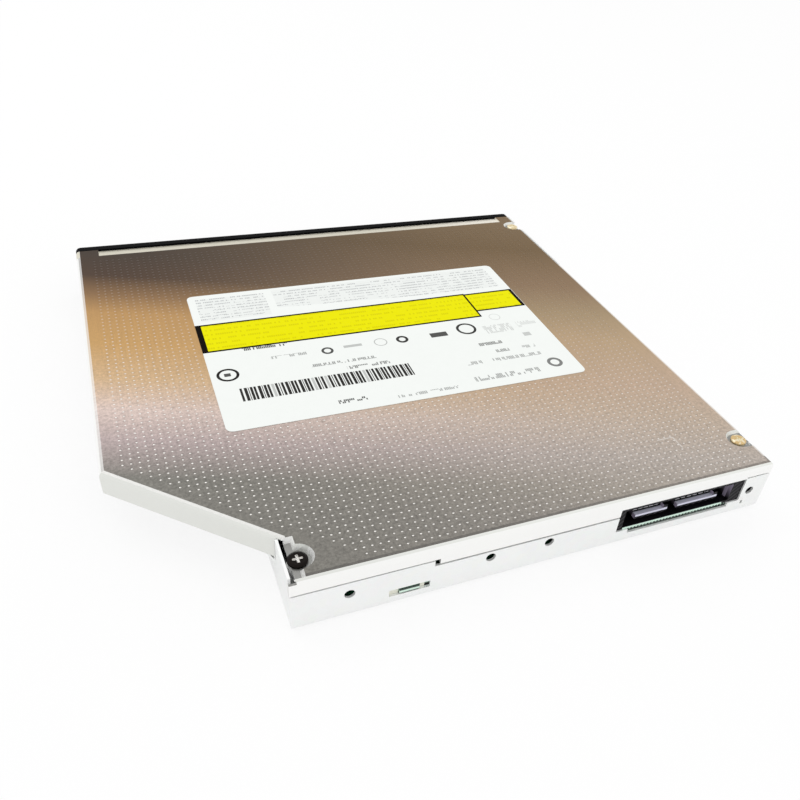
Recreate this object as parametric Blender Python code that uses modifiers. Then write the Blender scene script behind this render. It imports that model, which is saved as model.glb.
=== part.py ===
"""Slim tray-loading optical drive for a laptop, 128 mm wide and 12.7 mm high.

Metres, +Z up. The origin is on the ground at the middle of the whole drive. The front panel
faces -Y, the rear wall with its connector faces +Y, and the cut-away corner is at +X.
"""
import math

import bmesh
import bpy
from mathutils import Matrix, Vector

mm = 0.001

# Overall form
case_width = 128.0 * mm
case_depth = 126.1 * mm
case_height = 12.7 * mm
bezel_depth = 2.9 * mm
cutaway_width = 26.0 * mm          # the rear right corner that a laptop's own frame fills
cutaway_depth = 35.3 * mm
cutaway_straight = 10.5 * mm

# Sheets and clearances
cover_sheet = 0.5 * mm
chassis_sheet = 0.5 * mm
bend_radius = 1.0 * mm
sheet_gap = 0.3 * mm               # between two pieces that rest on or run past each other
seat_gap = 0.05 * mm               # under a piece that is screwed, soldered or glued down
tiny = 0.001 * mm

# Label
label_thickness = 0.08 * mm
label_gap = 0.02 * mm
label_width = 82.4 * mm
label_depth = 53.5 * mm
label_center = (-1.1 * mm, -3.95 * mm)
label_corner = 1.5 * mm

# Cover
side_flange_low = 7.7 * mm
left_flange_low = 9.9 * mm
left_step_setback = 33.9 * mm      # up to here from the front, the chassis wall stands outside the cover
rear_flange_right_low = 8.9 * mm
rear_flange_middle_low = 7.6 * mm
rear_step_from_wall = 25.9 * mm     # where the rear flange changes its height
rear_notch_width = 1.0 * mm
slot_width = 0.6 * mm              # open slot where the cover's slanted side ends
ramp_drop = 0.4 * mm
ramp_depth = 3.6 * mm
ramp_left_inset = 5.0 * mm
ramp_right_inset = 5.5 * mm

# Screws in the cover, each in a pressed pocket
right_screw_inset = (2.7 * mm, 5.0 * mm)
left_screw_inset = 2.3 * mm
left_screw_from_rear = 8.8 * mm
left_screw_from_front = 7.0 * mm
right_pocket_radius = 2.4 * mm
right_pocket_ahead = 4.3 * mm      # how far the trough reaches from the screw
right_pocket_behind = 4.1 * mm
right_pocket_offset = 0.2 * mm
right_pocket_floor = 11.5 * mm
left_pocket_radius = 2.3 * mm
left_pocket_floor = 11.95 * mm
pocket_slope = 0.5 * mm
right_head_radius = 1.8 * mm
left_head_radius = 1.65 * mm
head_height = 0.55 * mm
screw_radius = 0.9 * mm
small_screw_radius = 0.7 * mm
screw_hole_gap = 0.25 * mm
screw_length = 3.0 * mm
board_screw_length = 2.4 * mm
boss_radius = 1.9 * mm
tab_width = 4.0 * mm
tab_reach = 3.1 * mm
tab_sheet = 0.6 * mm

# Chassis
shelf_rise = 4.0 * mm              # where the right wall starts to curl outwards
shelf_radius = 3.4 * mm
rear_hole_radius = 1.0 * mm
rear_holes_from_wall = (10.3 * mm, 37.1 * mm, 49.4 * mm)
rear_hole_left_inset = 4.0 * mm
rear_hole_z = 5.8 * mm
board_slot_from_wall = 21.4 * mm
board_slot_width = 7.8 * mm
board_slot_height = 1.6 * mm
board_slot_z = 3.0 * mm
edge_slot_from_left = 5.0 * mm      # a small open slot beside the connector
edge_slot_width = 0.6 * mm
edge_slot_height = 0.9 * mm
edge_slot_z = 2.7 * mm

# Rails: the tray's rib runs in a channel, the channel runs in a guide
rail_sheet = 0.3 * mm
rail_lip = 1.4 * mm
rail_front_inset = 3.6 * mm
left_rail_rear_inset = 7.5 * mm
right_rail_before_slant = 1.2 * mm
guide_wall = 0.5 * mm
guide_lip = 1.7 * mm
guide_front_inset = 11.6 * mm
left_guide_rear_inset = 14.5 * mm
right_guide_before_slant = 3.2 * mm
rib_height = 0.6 * mm

# Tray
tray_plate = 1.1 * mm
tray_low = 8.4 * mm                # underside of the plate
tray_rim_high = 11.1 * mm
tray_rim_inset = 4.6 * mm
tray_rear_inset = 10.0 * mm
tray_wall = 1.0 * mm
tray_front_wall = 2.4 * mm
tray_skirt_low = 1.5 * mm
tray_skirt_rear_inset = 22.5 * mm
tray_skirt_left_inset = 4.0 * mm
tray_skirt_wall_gap = 1.4 * mm
disc_radius = 60.0 * mm
disc_clearance = 0.5 * mm
small_disc_radius = 40.0 * mm
small_disc_drop = 0.5 * mm
spindle_setback = 63.1 * mm
hub_hole_radius = 15.0 * mm
bottom_plate_sheet = 0.4 * mm
bottom_plate_low = 0.9 * mm
bottom_plate_from_wall = 25.0 * mm
finger_dip_radius = 9.0 * mm

# Traverse, laid out along u from the spindle towards the front left corner
traverse_angle = math.radians(225.0)
frame_low = 2.4 * mm
frame_sheet = 1.0 * mm
frame_half = 24.0 * mm
frame_near_reach = 4.0 * mm        # past the damper at the near end
frame_nose_half = 5.0 * mm
frame_shoulder_half = 9.0 * mm
frame_near_half = 17.0 * mm
frame_far_reach = 4.0 * mm         # past the damper at the far end
window_half = 14.0 * mm
window_gap = 2.0 * mm              # left round the pickup's optics at both ends of its way
rod_radius = 1.0 * mm
rod_v = 17.5 * mm
rod_z = 5.4 * mm
rod_end_gaps = (1.2 * mm, 0.8 * mm)   # between the sled's sleeves and the rods' clamps
clamp_length = 2.5 * mm
running_gap = 0.3 * mm
lens_near = 24.0 * mm
lens_travel = 33.0 * mm
sled_half = 15.5 * mm
sled_back = 9.0 * mm
sled_ahead = 10.0 * mm
sled_high = 7.6 * mm
sled_nose_half = 9.0 * mm
sled_shoulder = 3.0 * mm
sled_notch_half = 7.0 * mm
sled_notch = 2.0 * mm
sled_tooth = (3.0 * mm, 7.0 * mm)   # where the tooth starts and ends, from the sled's back
sled_tooth_half = 0.6 * mm
optics_half = (6.0 * mm, 12.0 * mm)
sleeve_length = 10.0 * mm
lead_radius = 1.2 * mm
lead_v = 21.5 * mm
lead_groove = 0.35 * mm
lead_pitch = 3.0 * mm
motor_radius = 2.7 * mm
motor_near = -16.0 * mm
motor_far = -3.0 * mm
motor_notch_gap = 1.0 * mm
bearing_length = 2.0 * mm
bearing_bore = 0.9 * mm
lead_far = 58.0 * mm
holder_length = 9.0 * mm
holder_width = 12.0 * mm
holder_low = 7.2 * mm
holder_high = 8.5 * mm
focus_travel = 0.4 * mm
lens_radius = 2.2 * mm
lens_high = 8.85 * mm

# Spindle
stator_radius = 13.0 * mm
stator_sheet = 0.8 * mm
bearing_radius = 2.6 * mm
bearing_high = 6.0 * mm
shaft_radius = 1.0 * mm
rotor_radius = 12.3 * mm
rotor_wall = 0.7 * mm
rotor_neck = 3.0 * mm
rotor_low = 4.7 * mm
rotor_high = 7.6 * mm
table_radius = 14.0 * mm
table_low = 8.4 * mm
table_high = 9.6 * mm
disc_seat = 9.9 * mm
hub_radius = 7.3 * mm
hub_high = 11.5 * mm
ring_inner = 9.6 * mm
ring_outer = 13.4 * mm
ring_groove = 0.3 * mm
claw_width = 2.4 * mm
claw_length = 3.0 * mm
claw_height = 0.8 * mm
claw_proud = 0.55 * mm
claw_count = 3

# Dampers that carry the traverse in the tray
damper_places = ((10.0 * mm, -23.2 * mm), (72.0 * mm, 0.0), (-22.0 * mm, -12.0 * mm))
damper_radius = 3.4 * mm
damper_core = 2.2 * mm
damper_flange = 0.5 * mm
damper_ear = 1.2 * mm
damper_head_gap = 0.6 * mm
post_radius = 1.4 * mm

# Boards and connector
board_thickness = 1.0 * mm
main_board_low = 2.5 * mm
main_board_tab = 3.8 * mm           # width of the tab that looks out of the rear wall's slot
main_board_depth = 19.7 * mm
main_board_right_gap = 6.0 * mm
main_board_left_gap = 3.0 * mm
tray_board_low = 3.7 * mm
tray_board_beside = (9.0 * mm, 8.0 * mm)   # to the left and right of the cable's middle
tray_board_depth = 21.0 * mm
small_board_thickness = 0.8 * mm
board_seat_insets = (4.0 * mm, 24.0 * mm)   # of the left and the right screw, from their ends of the board
# Each chip's near corner from the board's right and front edges, its size and its height
board_chips = {"controller_chip": ((42.0 * mm, 2.5 * mm), (14.0 * mm, 14.0 * mm), 1.4 * mm),
               "memory_chip": ((28.0 * mm, 3.0 * mm), (10.0 * mm, 7.0 * mm), 1.0 * mm),
               "motor_driver_chip": ((8.0 * mm, 3.0 * mm), (12.0 * mm, 7.0 * mm), 1.2 * mm)}
tray_chip_inset = 4.0 * mm
tray_chip_size = 7.0 * mm
connector_left_inset = 6.1 * mm
connector_width = 31.0 * mm
connector_depth = 8.0 * mm
connector_high = 9.2 * mm
connector_wall = 0.6 * mm
connector_cheek = 2.9 * mm
tongue_thickness = 1.1 * mm
tongue_low = 4.7 * mm
power_tongue_reach = (5.7 * mm, 15.8 * mm)   # from the connector's left end
signal_tongue_reach = (18.4 * mm, 26.2 * mm)

# Flat cable between the two boards
cable_width = 15.0 * mm
cable_from_wall = 15.0 * mm
cable_sheet = 0.3 * mm
cable_low_z = 0.8 * mm
cable_high_z = 1.75 * mm
cable_turn_setback = 33.6 * mm
cable_tray_grip = 4.0 * mm         # how far each end reaches past its board's edge
cable_board_grip = 4.0 * mm
socket_height_gap = 0.2 * mm
socket_side = 1.5 * mm              # past the cable's edge
socket_wall = 1.0 * mm
socket_back = 0.8 * mm
socket_past_cable = 1.1 * mm
tray_socket_grip = 2.5 * mm
socket_floor_gap = 0.5 * mm

# Front panel
bezel_low = 0.2 * mm
bezel_high = 12.6 * mm
bezel_edge = 0.8 * mm
button_from_right = 36.0 * mm
button_z = 6.2 * mm
button_width = 12.0 * mm
button_height = 3.5 * mm
button_gap = 0.3 * mm
button_travel = 0.8 * mm
switch_width = 4.0 * mm
button_stop = 0.1 * mm             # left before the pressed button meets the drawer
lamp_from_button = 11.0 * mm
lamp_width = 2.4 * mm
lamp_height = 1.2 * mm
pin_hole_from_button = 16.0 * mm
pin_hole_radius = 0.6 * mm

# Latch
latch_post_inset = (4.5 * mm, 17.6 * mm)   # from the right wall and from the case's front
latch_post_radius = 1.0 * mm
latch_foot = 0.6 * mm
latch_post_high = 6.0 * mm
latch_pivot_from_post = (5.0 * mm, 3.0 * mm)
lever_low = 3.0 * mm
lever_sheet = 1.0 * mm
lever_pin_radius = 0.9 * mm
solenoid_reach = (13.5 * mm, 3.5 * mm)     # to the left of the lever's pin
solenoid_ahead = (2.5 * mm, 14.0 * mm)     # behind the lever's pin
solenoid_high = 7.6 * mm
solenoid_rim = 1.0 * mm
latch_base_sheet = 0.8 * mm

# Places that follow from the sizes
right = case_width / 2
left = -right
rear = (case_depth + bezel_depth) / 2
front = -rear
case_front = front + bezel_depth
bezel_back = case_front - sheet_gap
cover_top = case_height - label_thickness - label_gap
cover_under = cover_top - cover_sheet
wall_x = right - cutaway_width
slant_front_y = rear - cutaway_depth
slant_rear_y = rear - cutaway_straight
cover_rear_x = wall_x - chassis_sheet - sheet_gap
shelf_low = shelf_rise + shelf_radius
shelf_top = shelf_low + chassis_sheet
inner_left = left + chassis_sheet
inner_right = right - cover_sheet
floor_top = chassis_sheet
wall_top = cover_top - 0.1 * mm
rail_low = shelf_top + sheet_gap
rib_low = rail_low + rail_sheet + running_gap
rail_high = rib_low + rib_height + running_gap + rail_sheet
guide_out = inner_right - sheet_gap
rail_out = guide_out - guide_wall - sheet_gap
rib_out = rail_out - rail_sheet - running_gap
tray_top = tray_low + tray_plate
tray_front = case_front
tray_inner_front = tray_front + tray_front_wall
frame_top = frame_low + frame_sheet
window_near = lens_near - optics_half[0] - window_gap
window_far = lens_near + lens_travel + optics_half[0] + window_gap
rod_near = lens_near - sled_back - clamp_length - rod_end_gaps[0]
rod_far = lens_near - sled_back + sleeve_length + lens_travel + clamp_length + rod_end_gaps[1]
main_board_top = main_board_low + board_thickness
rear_step_x = wall_x - rear_step_from_wall
left_step_y = case_front + left_step_setback
ramp_left = left + ramp_left_inset
ramp_right = right - ramp_right_inset
right_screw_at = (wall_x - right_screw_inset[0], rear - right_screw_inset[1])
left_screw_x = left + left_screw_inset
left_screw_ys = {"rear": rear - left_screw_from_rear, "front": case_front + left_screw_from_front}
right_pocket_front = right_screw_at[1] - right_pocket_ahead
right_pocket_rear = right_screw_at[1] + right_pocket_behind
right_pocket_left = right_screw_at[0] + right_pocket_offset
rear_hole_xs = [wall_x - reach for reach in rear_holes_from_wall] + [left + rear_hole_left_inset]
board_slot_x = wall_x - board_slot_from_wall
edge_slot_x = left + edge_slot_from_left
rail_front = case_front + rail_front_inset
left_rail_rear = rear - left_rail_rear_inset
right_rail_rear = slant_front_y - right_rail_before_slant
guide_front = case_front + guide_front_inset
left_guide_rear = rear - left_guide_rear_inset
right_guide_rear = slant_front_y - right_guide_before_slant
tray_rim_half = right - tray_rim_inset
tray_rear = rear - tray_rear_inset
tray_skirt_rear = rear - tray_skirt_rear_inset
tray_skirt_left = left + tray_skirt_left_inset
tray_skirt_right = wall_x - tray_skirt_wall_gap
bottom_plate_right = wall_x - bottom_plate_from_wall
main_board_rear = rear - chassis_sheet - sheet_gap
main_board_front = main_board_rear - main_board_depth
main_board_right = wall_x - main_board_right_gap
main_board_left = left + main_board_left_gap
connector_left = left + connector_left_inset
connector_right = connector_left + connector_width
power_tongue = [connector_left + reach for reach in power_tongue_reach]
signal_tongue = [connector_left + reach for reach in signal_tongue_reach]
cable_middle = wall_x - cable_from_wall
cable_turn_y = case_front + cable_turn_setback
cable_tray_end = tray_skirt_rear - cable_tray_grip
cable_board_end = main_board_front + cable_board_grip
tray_board_rear = tray_skirt_rear - 1.0 * mm
tray_board_front = tray_board_rear - tray_board_depth
button_x = right - button_from_right
lamp_x = button_x - lamp_from_button
pin_hole_x = button_x - pin_hole_from_button
latch_post_at = (wall_x - latch_post_inset[0], case_front + latch_post_inset[1])
latch_pivot = (latch_post_at[0] - latch_pivot_from_post[0], latch_post_at[1] - latch_pivot_from_post[1])
spindle_y = case_front + spindle_setback
spindle = Vector((0.0, spindle_y, 0.0))
along = Vector((math.cos(traverse_angle), math.sin(traverse_angle), 0.0))
across = Vector((-along.y, along.x, 0.0))
traverse_turn = Matrix.Translation(spindle) @ Matrix.Rotation(traverse_angle, 4, "Z")


def clear_scene():
    for item in list(bpy.data.objects):
        bpy.data.objects.remove(item, do_unlink=True)


clear_scene()
parts = bpy.data.collections.new("laptop_optical_drive")
helpers = bpy.data.collections.new("cutters")
bpy.context.scene.collection.children.link(parts)
bpy.context.scene.collection.children.link(helpers)
helpers.hide_render = True
finishes = {}
many_cuts = ("chassis", "cover", "frame", "screw", "disc_tray")  # closed forms whose faces meet in one plane


def finish(name, colour, roughness, metallic):
    """One Principled material for each name."""
    if name in finishes:
        return finishes[name]
    material = bpy.data.materials.new(name)
    material.use_nodes = True
    shader = material.node_tree.nodes["Principled BSDF"]
    shader.inputs["Base Color"].default_value = (*colour, 1.0)
    shader.inputs["Roughness"].default_value = roughness
    shader.inputs["Metallic"].default_value = metallic
    finishes[name] = material
    return material


def zinc():
    return finish("zinc_plated_steel", (0.72, 0.70, 0.68), 0.32, 1.0)


def tinted():
    return finish("embossed_cover_steel", (0.55, 0.49, 0.46), 0.35, 1.0)


def black():
    return finish("black_plastic", (0.02, 0.02, 0.022), 0.45, 0.0)


def steel():
    return finish("bright_steel", (0.70, 0.70, 0.71), 0.22, 1.0)


def brass():
    return finish("gold_passivated_screw", (0.72, 0.58, 0.34), 0.3, 1.0)


def blackened():
    return finish("black_oxide_screw", (0.03, 0.028, 0.026), 0.35, 1.0)


def green():
    return finish("board_green", (0.03, 0.22, 0.13), 0.4, 0.0)


def rubber():
    return finish("grey_rubber", (0.10, 0.10, 0.11), 0.8, 0.0)


def add(name, mesh, material=None, collection=None):
    """A new object around a finished mesh."""
    item = bpy.data.objects.new(name, mesh)
    (collection or parts).objects.link(item)
    if material:
        mesh.materials.append(material)
    mesh.shade_smooth()
    mesh.set_sharp_from_angle(angle=math.radians(30))
    return item


def box_mesh(low, high):
    mesh = bpy.data.meshes.new("box")
    shape = bmesh.new()
    bmesh.ops.create_cube(shape, size=1.0)
    size = [b - a for a, b in zip(low, high)]
    middle = [(a + b) / 2 for a, b in zip(low, high)]
    bmesh.ops.scale(shape, vec=size, verts=shape.verts)
    bmesh.ops.translate(shape, vec=middle, verts=shape.verts)
    shape.to_mesh(mesh)
    shape.free()
    return mesh


def rod_mesh(radius, start, end, sides=16, end_radius=None):
    """A cylinder, or a cone, from one point to another."""
    mesh = bpy.data.meshes.new("rod")
    shape = bmesh.new()
    line = Vector(end) - Vector(start)
    other = radius if end_radius is None else end_radius
    bmesh.ops.create_cone(shape, cap_ends=True, segments=sides, radius1=radius, radius2=other,
                          depth=line.length)
    turn = Vector((0, 0, 1)).rotation_difference(line).to_matrix().to_4x4()
    middle = (Vector(start) + Vector(end)) / 2
    bmesh.ops.transform(shape, matrix=Matrix.Translation(middle) @ turn, verts=shape.verts)
    shape.to_mesh(mesh)
    shape.free()
    return mesh


def rounded(corners, steps=4):
    """An outline from (x, y, radius) corners, each turned into an arc of a few points."""
    points = []
    count = len(corners)
    for index, (x, y, radius) in enumerate(corners):
        here = Vector((x, y))
        before = (Vector(corners[index - 1][:2]) - here).normalized()
        after = (Vector(corners[(index + 1) % count][:2]) - here).normalized()
        if radius <= 0:
            points.append((x, y))
            continue
        half = before.angle(after) / 2
        middle = here + (before + after).normalized() * (radius / math.sin(half))
        first = here + before * (radius / math.tan(half)) - middle
        last = here + after * (radius / math.tan(half)) - middle
        sweep = first.angle_signed(last)
        for step in range(steps + 1):
            arm = first.copy()
            arm.rotate(Matrix.Rotation(-sweep * step / steps, 2))
            points.append(tuple(middle + arm))
    return points


def circle(x, y, radius, sides=24):
    return [(x + radius * math.cos(2 * math.pi * k / sides), y + radius * math.sin(2 * math.pi * k / sides))
            for k in range(sides)]


def rectangle(x0, x1, y0, y1, radius=0.0):
    return rounded([(x0, y0, radius), (x1, y0, radius), (x1, y1, radius), (x0, y1, radius)])


def outline_mesh(loops, low, high, axis="Z"):
    """A flat 2D curve, filled and extruded along an axis, as a closed mesh.

    Loops inside others are holes. Across Y an outline is (x, z), and across X it is (y, z).
    """
    curve = bpy.data.curves.new("outline", "CURVE")
    curve.dimensions = "2D"
    curve.fill_mode = "BOTH"
    curve.extrude = (high - low) / 2
    for loop in loops:
        spline = curve.splines.new("POLY")
        spline.points.add(len(loop) - 1)
        for point, (a, b) in zip(spline.points, loop):
            point.co = (a, b, 0.0, 1.0)
        spline.use_cyclic_u = True
    guide = bpy.data.objects.new("outline", curve)
    bpy.context.scene.collection.objects.link(guide)
    bpy.context.view_layer.update()
    graph = bpy.context.evaluated_depsgraph_get()
    mesh = bpy.data.meshes.new_from_object(guide.evaluated_get(graph))
    bpy.data.objects.remove(guide, do_unlink=True)
    bpy.data.curves.remove(curve)
    shape = bmesh.new()
    shape.from_mesh(mesh)
    bmesh.ops.remove_doubles(shape, verts=shape.verts, dist=tiny)
    bmesh.ops.dissolve_limit(shape, angle_limit=math.radians(0.5), verts=shape.verts, edges=shape.edges)
    middle = (low + high) / 2
    turns = {
        "Z": Matrix.Translation((0, 0, middle)),
        "Y": Matrix(((1, 0, 0, 0), (0, 0, -1, middle), (0, 1, 0, 0), (0, 0, 0, 1))),
        "X": Matrix(((0, 0, 1, middle), (1, 0, 0, 0), (0, 1, 0, 0), (0, 0, 0, 1))),
    }
    bmesh.ops.transform(shape, matrix=turns[axis], verts=shape.verts)
    bmesh.ops.recalc_face_normals(shape, faces=shape.faces)
    shape.to_mesh(mesh)
    shape.free()
    return mesh


def turned(name, profile, sides, material, at=(0.0, 0.0, 0.0), collection=None):
    """A profile of (radius, z) points, down its outer side, turned about Z."""
    mesh = bpy.data.meshes.new(name)
    shape = bmesh.new()
    points = [shape.verts.new((r, 0.0, z)) for r, z in profile]
    for first, second in zip(points, points[1:]):
        shape.edges.new((first, second))
    if profile[0][0] > tiny:
        shape.edges.new((points[-1], points[0]))
    shape.to_mesh(mesh)
    shape.free()
    item = bpy.data.objects.new(name, mesh)
    (collection or parts).objects.link(item)
    if material:
        mesh.materials.append(material)
    item.location = at
    screw = item.modifiers.new("Turn", "SCREW")
    screw.steps = sides
    screw.render_steps = sides
    screw.use_merge_vertices = True
    screw.merge_threshold = 0.00001
    screw.use_smooth_shade = True
    return item


def bevel_where(mesh, chosen, width, segments=3):
    """Rounds the edges for which chosen(first corner, second corner) holds."""
    shape = bmesh.new()
    shape.from_mesh(mesh)
    edges = [edge for edge in shape.edges if chosen(edge.verts[0].co, edge.verts[1].co)]
    bmesh.ops.bevel(shape, geom=edges, offset=width, segments=segments, profile=0.5, affect="EDGES")
    shape.to_mesh(mesh)
    shape.free()
    return mesh


def edges_above(height, ahead=-case_depth):
    """Picks the edges at or over a height, but not those at the open front."""
    return lambda a, b: min(a.z, b.z) > height - tiny and max(a.y, b.y) > ahead + tiny


def edges_below(height, ahead):
    return lambda a, b: max(a.z, b.z) < height + tiny and max(a.y, b.y) > ahead + tiny


def combine(target, mesh, operation, name):
    """Joins a helper mesh to the target, or cuts with it, and leaves the helper out of renders."""
    helper = mesh
    if isinstance(mesh, bpy.types.Mesh):
        helper = bpy.data.objects.new(target.name + "_" + name, mesh)
        helpers.objects.link(helper)
    helper.hide_render = True
    helper.display_type = "WIRE"
    modifier = target.modifiers.new(name, "BOOLEAN")
    modifier.operation = operation
    modifier.solver = "MANIFOLD" if any(word in target.name for word in many_cuts) else "EXACT"
    modifier.object = helper
    return helper


def cut(target, mesh, name="cut"):
    return combine(target, mesh, "DIFFERENCE", name)


def join(target, mesh, name="join"):
    return combine(target, mesh, "UNION", name)


def at_traverse(mesh):
    """Takes a mesh laid out along u, v to its place under the tray."""
    mesh.transform(traverse_turn)
    return mesh


def place(u, v):
    """The world x, y of a point given along the traverse."""
    point = spindle + along * u + across * v
    return point.x, point.y


def slant_y(x, inside):
    """Height in Y of a line parallel to the cut-away corner, this far inside the cover's face."""
    run = Vector((cover_rear_x - right, slant_end_y() - slant_front_y))
    slope = run.y / run.x
    return slant_front_y + (x - right) * slope - inside * math.hypot(1.0, slope)


def slant_end_y():
    """Where the slanted face meets the cover's narrow rear side."""
    slope = (slant_rear_y - slant_front_y) / (wall_x - right)
    return slant_front_y + (cover_rear_x - right) * slope


def slant_cutter(inside, low, high):
    """Everything beyond a line parallel to the slanted corner."""
    reach = case_width
    x0 = wall_x - cutaway_width
    x1 = right + cutaway_width
    loop = [(x0, slant_y(x0, inside)), (x1, slant_y(x1, inside)), (x1, reach), (x0, reach)]
    return outline_mesh([loop], low, high)


def cover_outline(inside, front_y):
    """The cover's plan, drawn in from its sides by one distance."""
    rear_x = cover_rear_x - inside
    return [(right - inside, front_y), (right - inside, slant_y(right - inside, inside)),
            (rear_x, slant_y(rear_x, inside)), (rear_x, rear - inside),
            (left + inside, rear - inside), (left + inside, front_y)]


def ramp_cutter(height, side_gap):
    """The wedge above the sloping strip at the cover's front edge."""
    back = case_front + ramp_depth
    ahead = case_front - ramp_depth
    slope = ramp_drop / ramp_depth
    loop = [(back, height), (ahead, height - 2 * ramp_depth * slope), (ahead, height + bend_radius),
            (back, height + bend_radius)]
    return outline_mesh([loop], ramp_left - side_gap, ramp_right + side_gap, axis="X")


def pocket_cup(loop, small_loop, floor, height):
    """A sloped-side cup between a wide outline at the top and a smaller one at the floor."""
    mesh = bpy.data.meshes.new("cup")
    shape = bmesh.new()
    upper = [shape.verts.new((x, y, height)) for x, y in loop]
    lower = [shape.verts.new((x, y, floor)) for x, y in small_loop]
    shape.faces.new(upper)
    shape.faces.new(list(reversed(lower)))
    count = len(upper)
    for k in range(count):
        shape.faces.new((upper[k], lower[k], lower[(k + 1) % count], upper[(k + 1) % count]))
    bmesh.ops.recalc_face_normals(shape, faces=shape.faces)
    shape.to_mesh(mesh)
    shape.free()
    return mesh


def right_pocket_outline(grow):
    """Keyhole: a circle round the screw, and a straight trough along the right edge."""
    x, y = right_screw_at
    radius = right_pocket_radius + grow
    trough_left = right_pocket_left - grow
    trough_front = right_pocket_front - grow
    trough_rear = right_pocket_rear + grow
    trough_right = cover_rear_x + chassis_sheet
    reach = math.acos(min(1.0, (x - trough_left) / radius))
    start = math.pi - reach
    points = [(trough_right, trough_front), (trough_right, trough_rear), (trough_left, trough_rear)]
    steps = 10
    for step in range(steps + 1):
        angle = start + (2 * reach) * step / steps
        points.append((x + radius * math.cos(angle), y + radius * math.sin(angle)))
    points.append((trough_left, trough_front))
    return points


def left_pocket_outline(y, grow):
    """A round-ended bay that is open at the cover's left edge."""
    radius = left_pocket_radius + grow
    edge = left - bend_radius
    points = [(edge, y - radius)]
    steps = 8
    for step in range(steps + 1):
        angle = -math.pi / 2 + math.pi * step / steps
        points.append((left_screw_x + radius * math.cos(angle), y + radius * math.sin(angle)))
    points.append((edge, y + radius))
    return points


def top_cover():
    """Folded lid: flat top, bent sides, sloped front strip and three pressed screw pockets."""
    low = side_flange_low
    shell = outline_mesh([cover_outline(0.0, case_front)], low, cover_top)
    bevel_where(shell, edges_above(cover_top, case_front), bend_radius)
    cover = add("top_cover", shell, tinted())
    cut(cover, ramp_cutter(cover_top, 0.0), "ramp")

    # The inside is one sheet smaller, with the same bends and the same ramp below the outside
    hollow = outline_mesh([cover_outline(cover_sheet, case_front - bezel_depth)], low - 5 * mm, cover_under)
    bevel_where(hollow, edges_above(cover_under, case_front), bend_radius - cover_sheet)
    inside = add("cover_inside", hollow, None, helpers)
    cut(inside, ramp_cutter(cover_under, cover_sheet), "ramp")
    for name, outline, floor in pocket_list():
        join_cup = pocket_cup(outline(pocket_slope + cover_sheet), outline(cover_sheet), floor - cover_sheet,
                              cover_top)
        cut(inside, join_cup, name)
    cut(cover, inside, "inside")
    for name, outline, floor in pocket_list():
        cut(cover, pocket_cup(outline(pocket_slope), outline(0.0), floor, cover_top + tiny), name)

    # Screw holes
    cut(cover, rod_mesh(screw_radius + screw_hole_gap, (*right_screw_at, low), (*right_screw_at, cover_top)),
        "right_hole")
    for side, y in left_screw_ys.items():
        cut(cover, rod_mesh(small_screw_radius + screw_hole_gap, (left_screw_x, y, low),
                            (left_screw_x, y, cover_top)), side + "_hole")

    # The narrow rear side has no bent edge, and the others end at their own heights
    below = low - mm
    cut(cover, box_mesh((cover_rear_x - cover_sheet - seat_gap, slant_rear_y, below),
                        (right, rear + mm, cover_under + cover_sheet / 5)), "open_side")
    join(cover, box_mesh((cover_rear_x - mm, rear - cover_sheet, side_flange_low),
                         (wall_x, rear, cover_top - bend_radius - seat_gap)), "rear_corner")
    cut(cover, box_mesh((rear_step_x, rear - mm, below), (right, rear + mm, rear_flange_right_low)),
        "rear_right")
    cut(cover, box_mesh((rear_step_x - rear_notch_width, rear - mm, below),
                        (rear_step_x + tiny, rear + mm, rear_flange_right_low)), "rear_notch")
    cut(cover, box_mesh((connector_left, rear - mm, below),
                        (connector_right, rear + mm, connector_high + sheet_gap)), "connector_bay")
    cut(cover, box_mesh((left - mm, left_step_y, below), (left + mm, rear + mm, left_flange_low)), "left_low")
    cut(cover, box_mesh((left - mm, rear - mm, below), (connector_left + tiny, rear + mm, left_flange_low)),
        "rear_left")
    cut(cover, box_mesh((left - mm, case_front - mm, below),
                        (inner_left + sheet_gap, left_step_y, case_height)), "left_narrow")
    return cover


def pocket_list():
    """Name, outline and floor height of each pressed pocket."""
    pockets = [("right_pocket", right_pocket_outline, right_pocket_floor)]
    for side, y in left_screw_ys.items():
        pockets.append((side + "_pocket", lambda grow, y=y: left_pocket_outline(y, grow), left_pocket_floor))
    return pockets


def label():
    x, y = label_center
    half_width = label_width / 2
    half_depth = label_depth / 2
    low = cover_top + label_gap
    loop = rectangle(x - half_width, x + half_width, y - half_depth, y + half_depth, label_corner)
    paper = finish("white_label", (0.86, 0.86, 0.86), 0.5, 0.0)
    return add("label", outline_mesh([loop], low, low + label_thickness), paper)


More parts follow.
